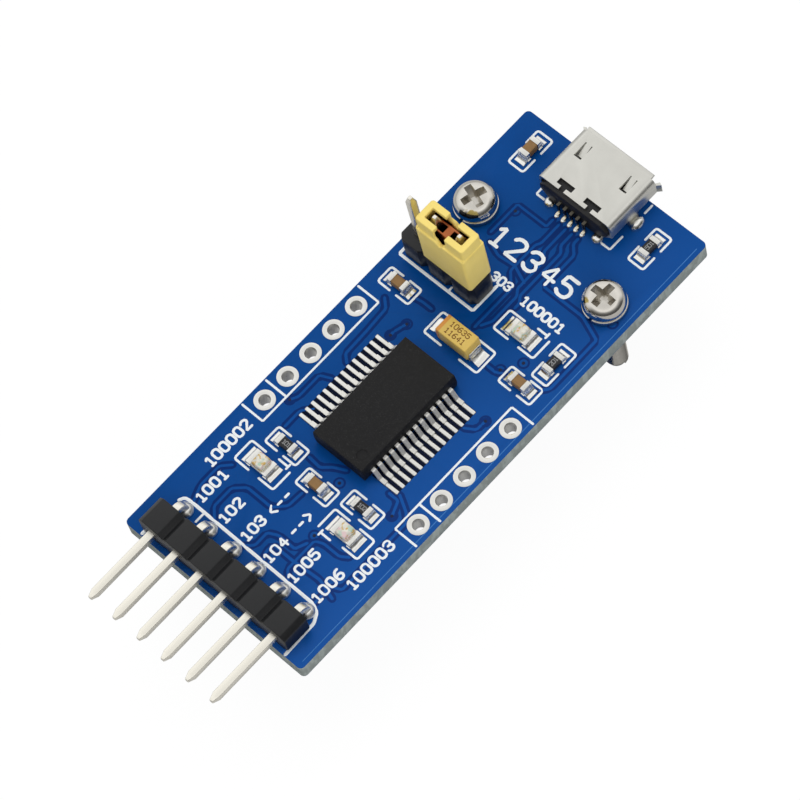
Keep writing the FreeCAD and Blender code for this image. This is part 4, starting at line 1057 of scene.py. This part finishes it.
class ADAPTER_OT_block(bpy.types.Operator):
    """Dresses the moulded capacitor: striped block and folded straps"""

    bl_idname = "adapter.block"
    bl_label = "Moulded capacitor"

    def execute(self, context):
        amber = context.scene.adapter_plastic.block
        low, high = (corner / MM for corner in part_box("tantalum_body"))
        finish, tree = new_finish("tantalum_plastic")
        fine = grain(tree, 0.08, 4)
        body = grain(tree, 0.5, 3).mix(shade_of(amber, 0.92), shade_of(amber, 1.08))
        is_stripe = place_on(tree)[0] < (low.x + 0.4) * MM
        close_finish(
            tree,
            {
                "Base Color": is_stripe.mix(body, tone(204, 138, 58)),
                "Roughness": fine * 0.12 + 0.38,
                "Normal": relief(tree, fine, 0.005),
            },
        )
        dress(["tantalum_body"], 0.07, finish)
        brown = plastic("block_mark", tone(112, 74, 26), 0.5, depth=0.001)
        lines = digits("10635", (low.x + 0.72, 4.62), ACROSS, 0.42, 0.4)
        lines += digits("11641", (low.x + 0.72, 3.98), ACROSS, 0.42, 0.4)
        draw_lines(lines, 0.075, high.z, 0.006, brown, "block_mark")
        tin = metal("strap_metal", context.scene.adapter_metal.tin, 0.24, 0.2, 0.1, 0.008)
        dress(["tantalum_terminals"], 0.03, tin)
        return {"FINISHED"}


SCREW_SECTION = [(0, 3.4), (0.7, 3.385), (1.08, 3.31), (1.36, 3.17), (1.56, 2.97), (1.69, 2.7)]
SCREW_SECTION += [(1.75, 2.4), (1.74, 2.2), (1.68, 2.1), (0.95, 2.1), (0.78, 1.98), (0.78, -7.5)]
SCREW_SECTION += [(0.5, -7.88), (0, -7.9)]

THREAD_SECTION = [(0.76, -7.5), (0.95, -7.34), (0.76, -7.18)]
THREAD_PITCH = 0.4
THREAD_TURNS = 22
THREAD_STEPS = 18

# Length, width and height of the lower and the upper end of a cross recess's slot
SLOT_LOW = (0.7, 0.34, 2.5)
SLOT_HIGH = (2.3, 0.66, 3.45)


def cross_punch(centre, turn, finish):
    """A tapered bar that cuts one slot of a cross recess."""
    bm = bmesh.new()
    bmesh.ops.create_cube(bm, size=1)
    for vert in bm.verts:
        long, wide, height = SLOT_LOW if vert.co.z < 0 else SLOT_HIGH
        vert.co = (vert.co.x * long, vert.co.y * wide, height)
    bmesh.ops.scale(bm, vec=(MM, MM, MM), verts=bm.verts)
    bmesh.ops.rotate(bm, cent=(0, 0, 0), matrix=Matrix.Rotation(turn, 3, "Z"), verts=bm.verts)
    bmesh.ops.translate(bm, vec=(centre[0], centre[1], 0), verts=bm.verts)
    return mesh_object("cross_punch", bm, [finish])


def screw_blank(name, centre, finishes, slot_turn):
    """The mesh of a turned head and core with its cross recess cut."""
    bm = bmesh.new()
    turned(bm, SCREW_SECTION, (centre[0] / MM, centre[1] / MM), 48)
    blank = mesh_object(name + "_turned", tidy_shell(bm), finishes)
    punches = [cross_punch(centre, turn + slot_turn, finishes[1]) for turn in (0, pi / 2)]
    for punch in punches:
        cutter = blank.modifiers.new("recess", "BOOLEAN")
        cutter.object = punch
        cutter.solver = "EXACT"
        cutter.material_mode = "TRANSFER"
    bpy.context.view_layer.update()
    graph = bpy.context.evaluated_depsgraph_get()
    cut = bpy.data.meshes.new_from_object(blank.evaluated_get(graph))
    for item in (blank, *punches):
        bpy.data.objects.remove(item)
    return cut


def thread(centre):
    """The mesh of a helical ridge round a screw's shank."""
    bm = bmesh.new()
    axis = Vector((centre[0], centre[1], 0))
    verts = [bm.verts.new(axis + Vector((out * MM, 0, up * MM))) for out, up in THREAD_SECTION]
    edges = [bm.edges.new((verts[n - 1], verts[n])) for n in range(3)]
    bmesh.ops.spin(
        bm,
        geom=verts + edges,
        cent=axis,
        axis=(0, 0, 1),
        dvec=(0, 0, THREAD_PITCH / THREAD_STEPS * MM),
        angle=2 * pi * THREAD_TURNS,
        steps=THREAD_STEPS * THREAD_TURNS,
    )
    bmesh.ops.holes_fill(bm, edges=bm.edges, sides=3)
    swept = bpy.data.meshes.new("thread")
    tidy_shell(bm).to_mesh(swept)
    bm.free()
    return swept


def make_screw(name, finishes, slot_turn):
    """A pan-head screw: turned head and core, cross recess and a helical thread."""
    low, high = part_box(name)
    centre = ((low.x + high.x) / 2, (low.y + high.y) / 2)
    bm = bmesh.new()
    for mesh in (screw_blank(name, centre, finishes, slot_turn), thread(centre)):
        bm.from_mesh(mesh)
        bpy.data.meshes.remove(mesh)
    new_piece(name + "_threaded", bm, finishes, [name], 40)


class ADAPTER_OT_screws(bpy.types.Operator):
    """Replaces the screws by threaded ones and dresses their lock washers"""

    bl_idname = "adapter.screws"
    bl_label = "Screws"

    def execute(self, context):
        nickel = context.scene.adapter_metal.nickel
        bright = metal("screw_metal", nickel, 0.12, 0.5, 0.08, 0.004)
        ring = metal("washer_metal", shade_of(nickel, 0.92), 0.2, 0.2, 0.1, 0.004)
        # Painted shade: the cross recess gets a slightly darker, rougher metal
        recess_shade = metal("recess_metal", tone(208, 204, 196), 0.3, 0.25, 0.12, 0.008)
        for side, slot_turn in (("left", -0.3), ("right", 0.0)):
            make_screw("screw_" + side, [bright, recess_shade], slot_turn)
        dress(["lock_washer_left", "lock_washer_right"], 0.05, ring)
        return {"FINISHED"}


CAMERA_PLACE = (128.467, -77.331, 304.824)
CAMERA_RIGHT = (0.72263, 0.67738, -0.13771)
CAMERA_UP = (-0.57718, 0.70093, 0.419)
CAMERA_BACK = (0.38034, -0.22329, 0.89748)
FOCAL_PIXELS = 4500
PICTURE_PIXELS = 800
SENSOR_WIDE = 36

# Height in the sky and how bright it is there, on the camera's side and behind the object
FRONT_DOME = [(0.0, 0.08), (0.35, 0.12), (0.6, 0.4), (0.78, 1.15), (0.9, 1.0), (1.0, 0.85)]
BACK_DOME = [(0.0, 0.45), (0.3, 0.9), (0.7, 1.1), (0.9, 0.95), (1.0, 0.85)]


def grey(level):
    return (level, level, level)


def ray_is(tree, kind):
    """One where the picture asks with a ray of that kind, else nought."""
    return tree.add("ShaderNodeLightPath", output="Is %s Ray" % kind)


def seen_by_camera(tree):
    """One where the camera looks, also through something clear."""
    return ray_is(tree, "Camera") + ray_is(tree, "Transmission")


def soft_lamp(name, place, target, size, power):
    """A round lamp that lights surfaces but isn't mirrored in them."""
    data = bpy.data.lights.new(name, "AREA")
    data.shape = "DISK"
    data.size = size
    data.energy = power
    lamp = bpy.data.objects.new(name, data)
    lamp.location = place
    lamp.rotation_euler = (Vector(target) - Vector(place)).to_track_quat("-Z", "Y").to_euler()
    lamp.visible_glossy = False
    bpy.context.scene.collection.objects.link(lamp)


class ADAPTER_OT_studio(bpy.types.Operator):
    """Makes the pale floor, the soft light, the white surroundings and the camera"""

    bl_idname = "adapter.studio"
    bl_label = "Studio"

    def execute(self, context):
        scene = context.scene
        bm = bmesh.new()
        bmesh.ops.create_grid(bm, x_segments=4, y_segments=4, size=2.0)
        bmesh.ops.translate(bm, vec=(0, 0, cad_bounds[0][2] - 0.1 * MM), verts=bm.verts)
        finish, tree = new_finish("floor")
        floor = mesh_object("floor", bm, [finish])
        seen = seen_by_camera(tree)
        pale = seen.mix(ray_is(tree, "Glossy").mix(grey(0.3), grey(0.6)), grey(0.9))
        matt = tree.add("ShaderNodeBsdfDiffuse", None, {"Color": pale})
        glow = tree.add("ShaderNodeEmission", None, {"Color": (1, 1, 1, 1), "Strength": 1.02})
        shown = tree.add("ShaderNodeMixShader", None, {0: seen * 0.92, 1: matt, 2: glow})
        from_below = tree.add("ShaderNodeNewGeometry", output="Backfacing")
        through = tree.add("ShaderNodeBsdfTransparent")
        shown = tree.add("ShaderNodeMixShader", None, {0: from_below, 1: shown, 2: through})
        tree.add("ShaderNodeOutputMaterial", None, {"Surface": shown})

        world = bpy.data.worlds.new("studio")
        scene.world = world
        world.use_nodes = True
        world.node_tree.nodes.clear()
        tree = Wire(world.node_tree)
        east, north, height = parts_of(tree, tree.add("ShaderNodeTexCoord", output="Generated"))
        back, front = [
            tree.add("ShaderNodeValToRGB", {"stops": stops}, {"Fac": height})
            for stops in (BACK_DOME, FRONT_DOME)
        ]
        dome = (east * 0.86 - north * 0.5).spread(-0.25, 0.3).mix(back, front)
        shade = ray_is(tree, "Glossy").mix(grey(0.72), dome)
        shade = seen_by_camera(tree).mix(shade, grey(1.0))
        sky = tree.add("ShaderNodeBackground", None, {"Color": shade, "Strength": 1.0})
        tree.add("ShaderNodeOutputWorld", None, {"Surface": sky})

        soft_lamp("overhead", (-0.14, 0.12, 0.55), (0, 0, 0), 0.36, 0.85)
        soft_lamp("fill", (0.35, -0.12, 0.16), (0, 0, 0), 0.2, 0.3)

        data = bpy.data.cameras.new("camera")
        data.sensor_width = SENSOR_WIDE
        data.lens = FOCAL_PIXELS / PICTURE_PIXELS * SENSOR_WIDE
        data.clip_start = 0.01
        data.clip_end = 20
        camera = bpy.data.objects.new("camera", data)
        turn = Matrix((CAMERA_RIGHT, CAMERA_UP, CAMERA_BACK)).transposed().to_4x4()
        camera.matrix_world = Matrix.Translation(Vector(CAMERA_PLACE) * MM) @ turn
        scene.collection.objects.link(camera)
        scene.camera = camera
        scene.view_settings.view_transform = "Standard"
        return {"FINISHED"}


PIECE_OPERATORS = [
    ADAPTER_OT_board,
    ADAPTER_OT_plating,
    ADAPTER_OT_strips,
    ADAPTER_OT_jumper,
    ADAPTER_OT_receptacle,
    ADAPTER_OT_chip,
    ADAPTER_OT_small_parts,
    ADAPTER_OT_lamps,
    ADAPTER_OT_block,
    ADAPTER_OT_screws,
    ADAPTER_OT_studio,
]


class ADAPTER_PT_panel(bpy.types.Panel):
    bl_label = "Adapter"
    bl_idname = "ADAPTER_PT_panel"
    bl_space_type = "VIEW_3D"
    bl_region_type = "UI"
    bl_category = "Adapter"

    def draw(self, context):
        for name, group in SETTINGS.items():
            column = self.layout.column(align=True)
            for field in group.__annotations__:
                column.prop(getattr(context.scene, name), field)
        for operator in PIECE_OPERATORS:
            self.layout.operator(operator.bl_idname)


CLASSES = [*SETTINGS.values(), *PIECE_OPERATORS, ADAPTER_PT_panel]


def register():
    for item in CLASSES:
        bpy.utils.register_class(item)
    for name, group in SETTINGS.items():
        setattr(bpy.types.Scene, name, PointerProperty(type=group))


def unregister():
    for name in SETTINGS:
        delattr(bpy.types.Scene, name)
    for item in reversed(CLASSES):
        bpy.utils.unregister_class(item)


def main():
    register()
    bpy.ops.adapter.board()
    bpy.ops.adapter.plating()
    bpy.ops.adapter.strips()
    bpy.ops.adapter.jumper()
    bpy.ops.adapter.receptacle()
    bpy.ops.adapter.chip()
    bpy.ops.adapter.small_parts()
    bpy.ops.adapter.lamps()
    bpy.ops.adapter.block()
    bpy.ops.adapter.screws()
    bpy.ops.adapter.studio()


if __name__ == "__main__":
    main()
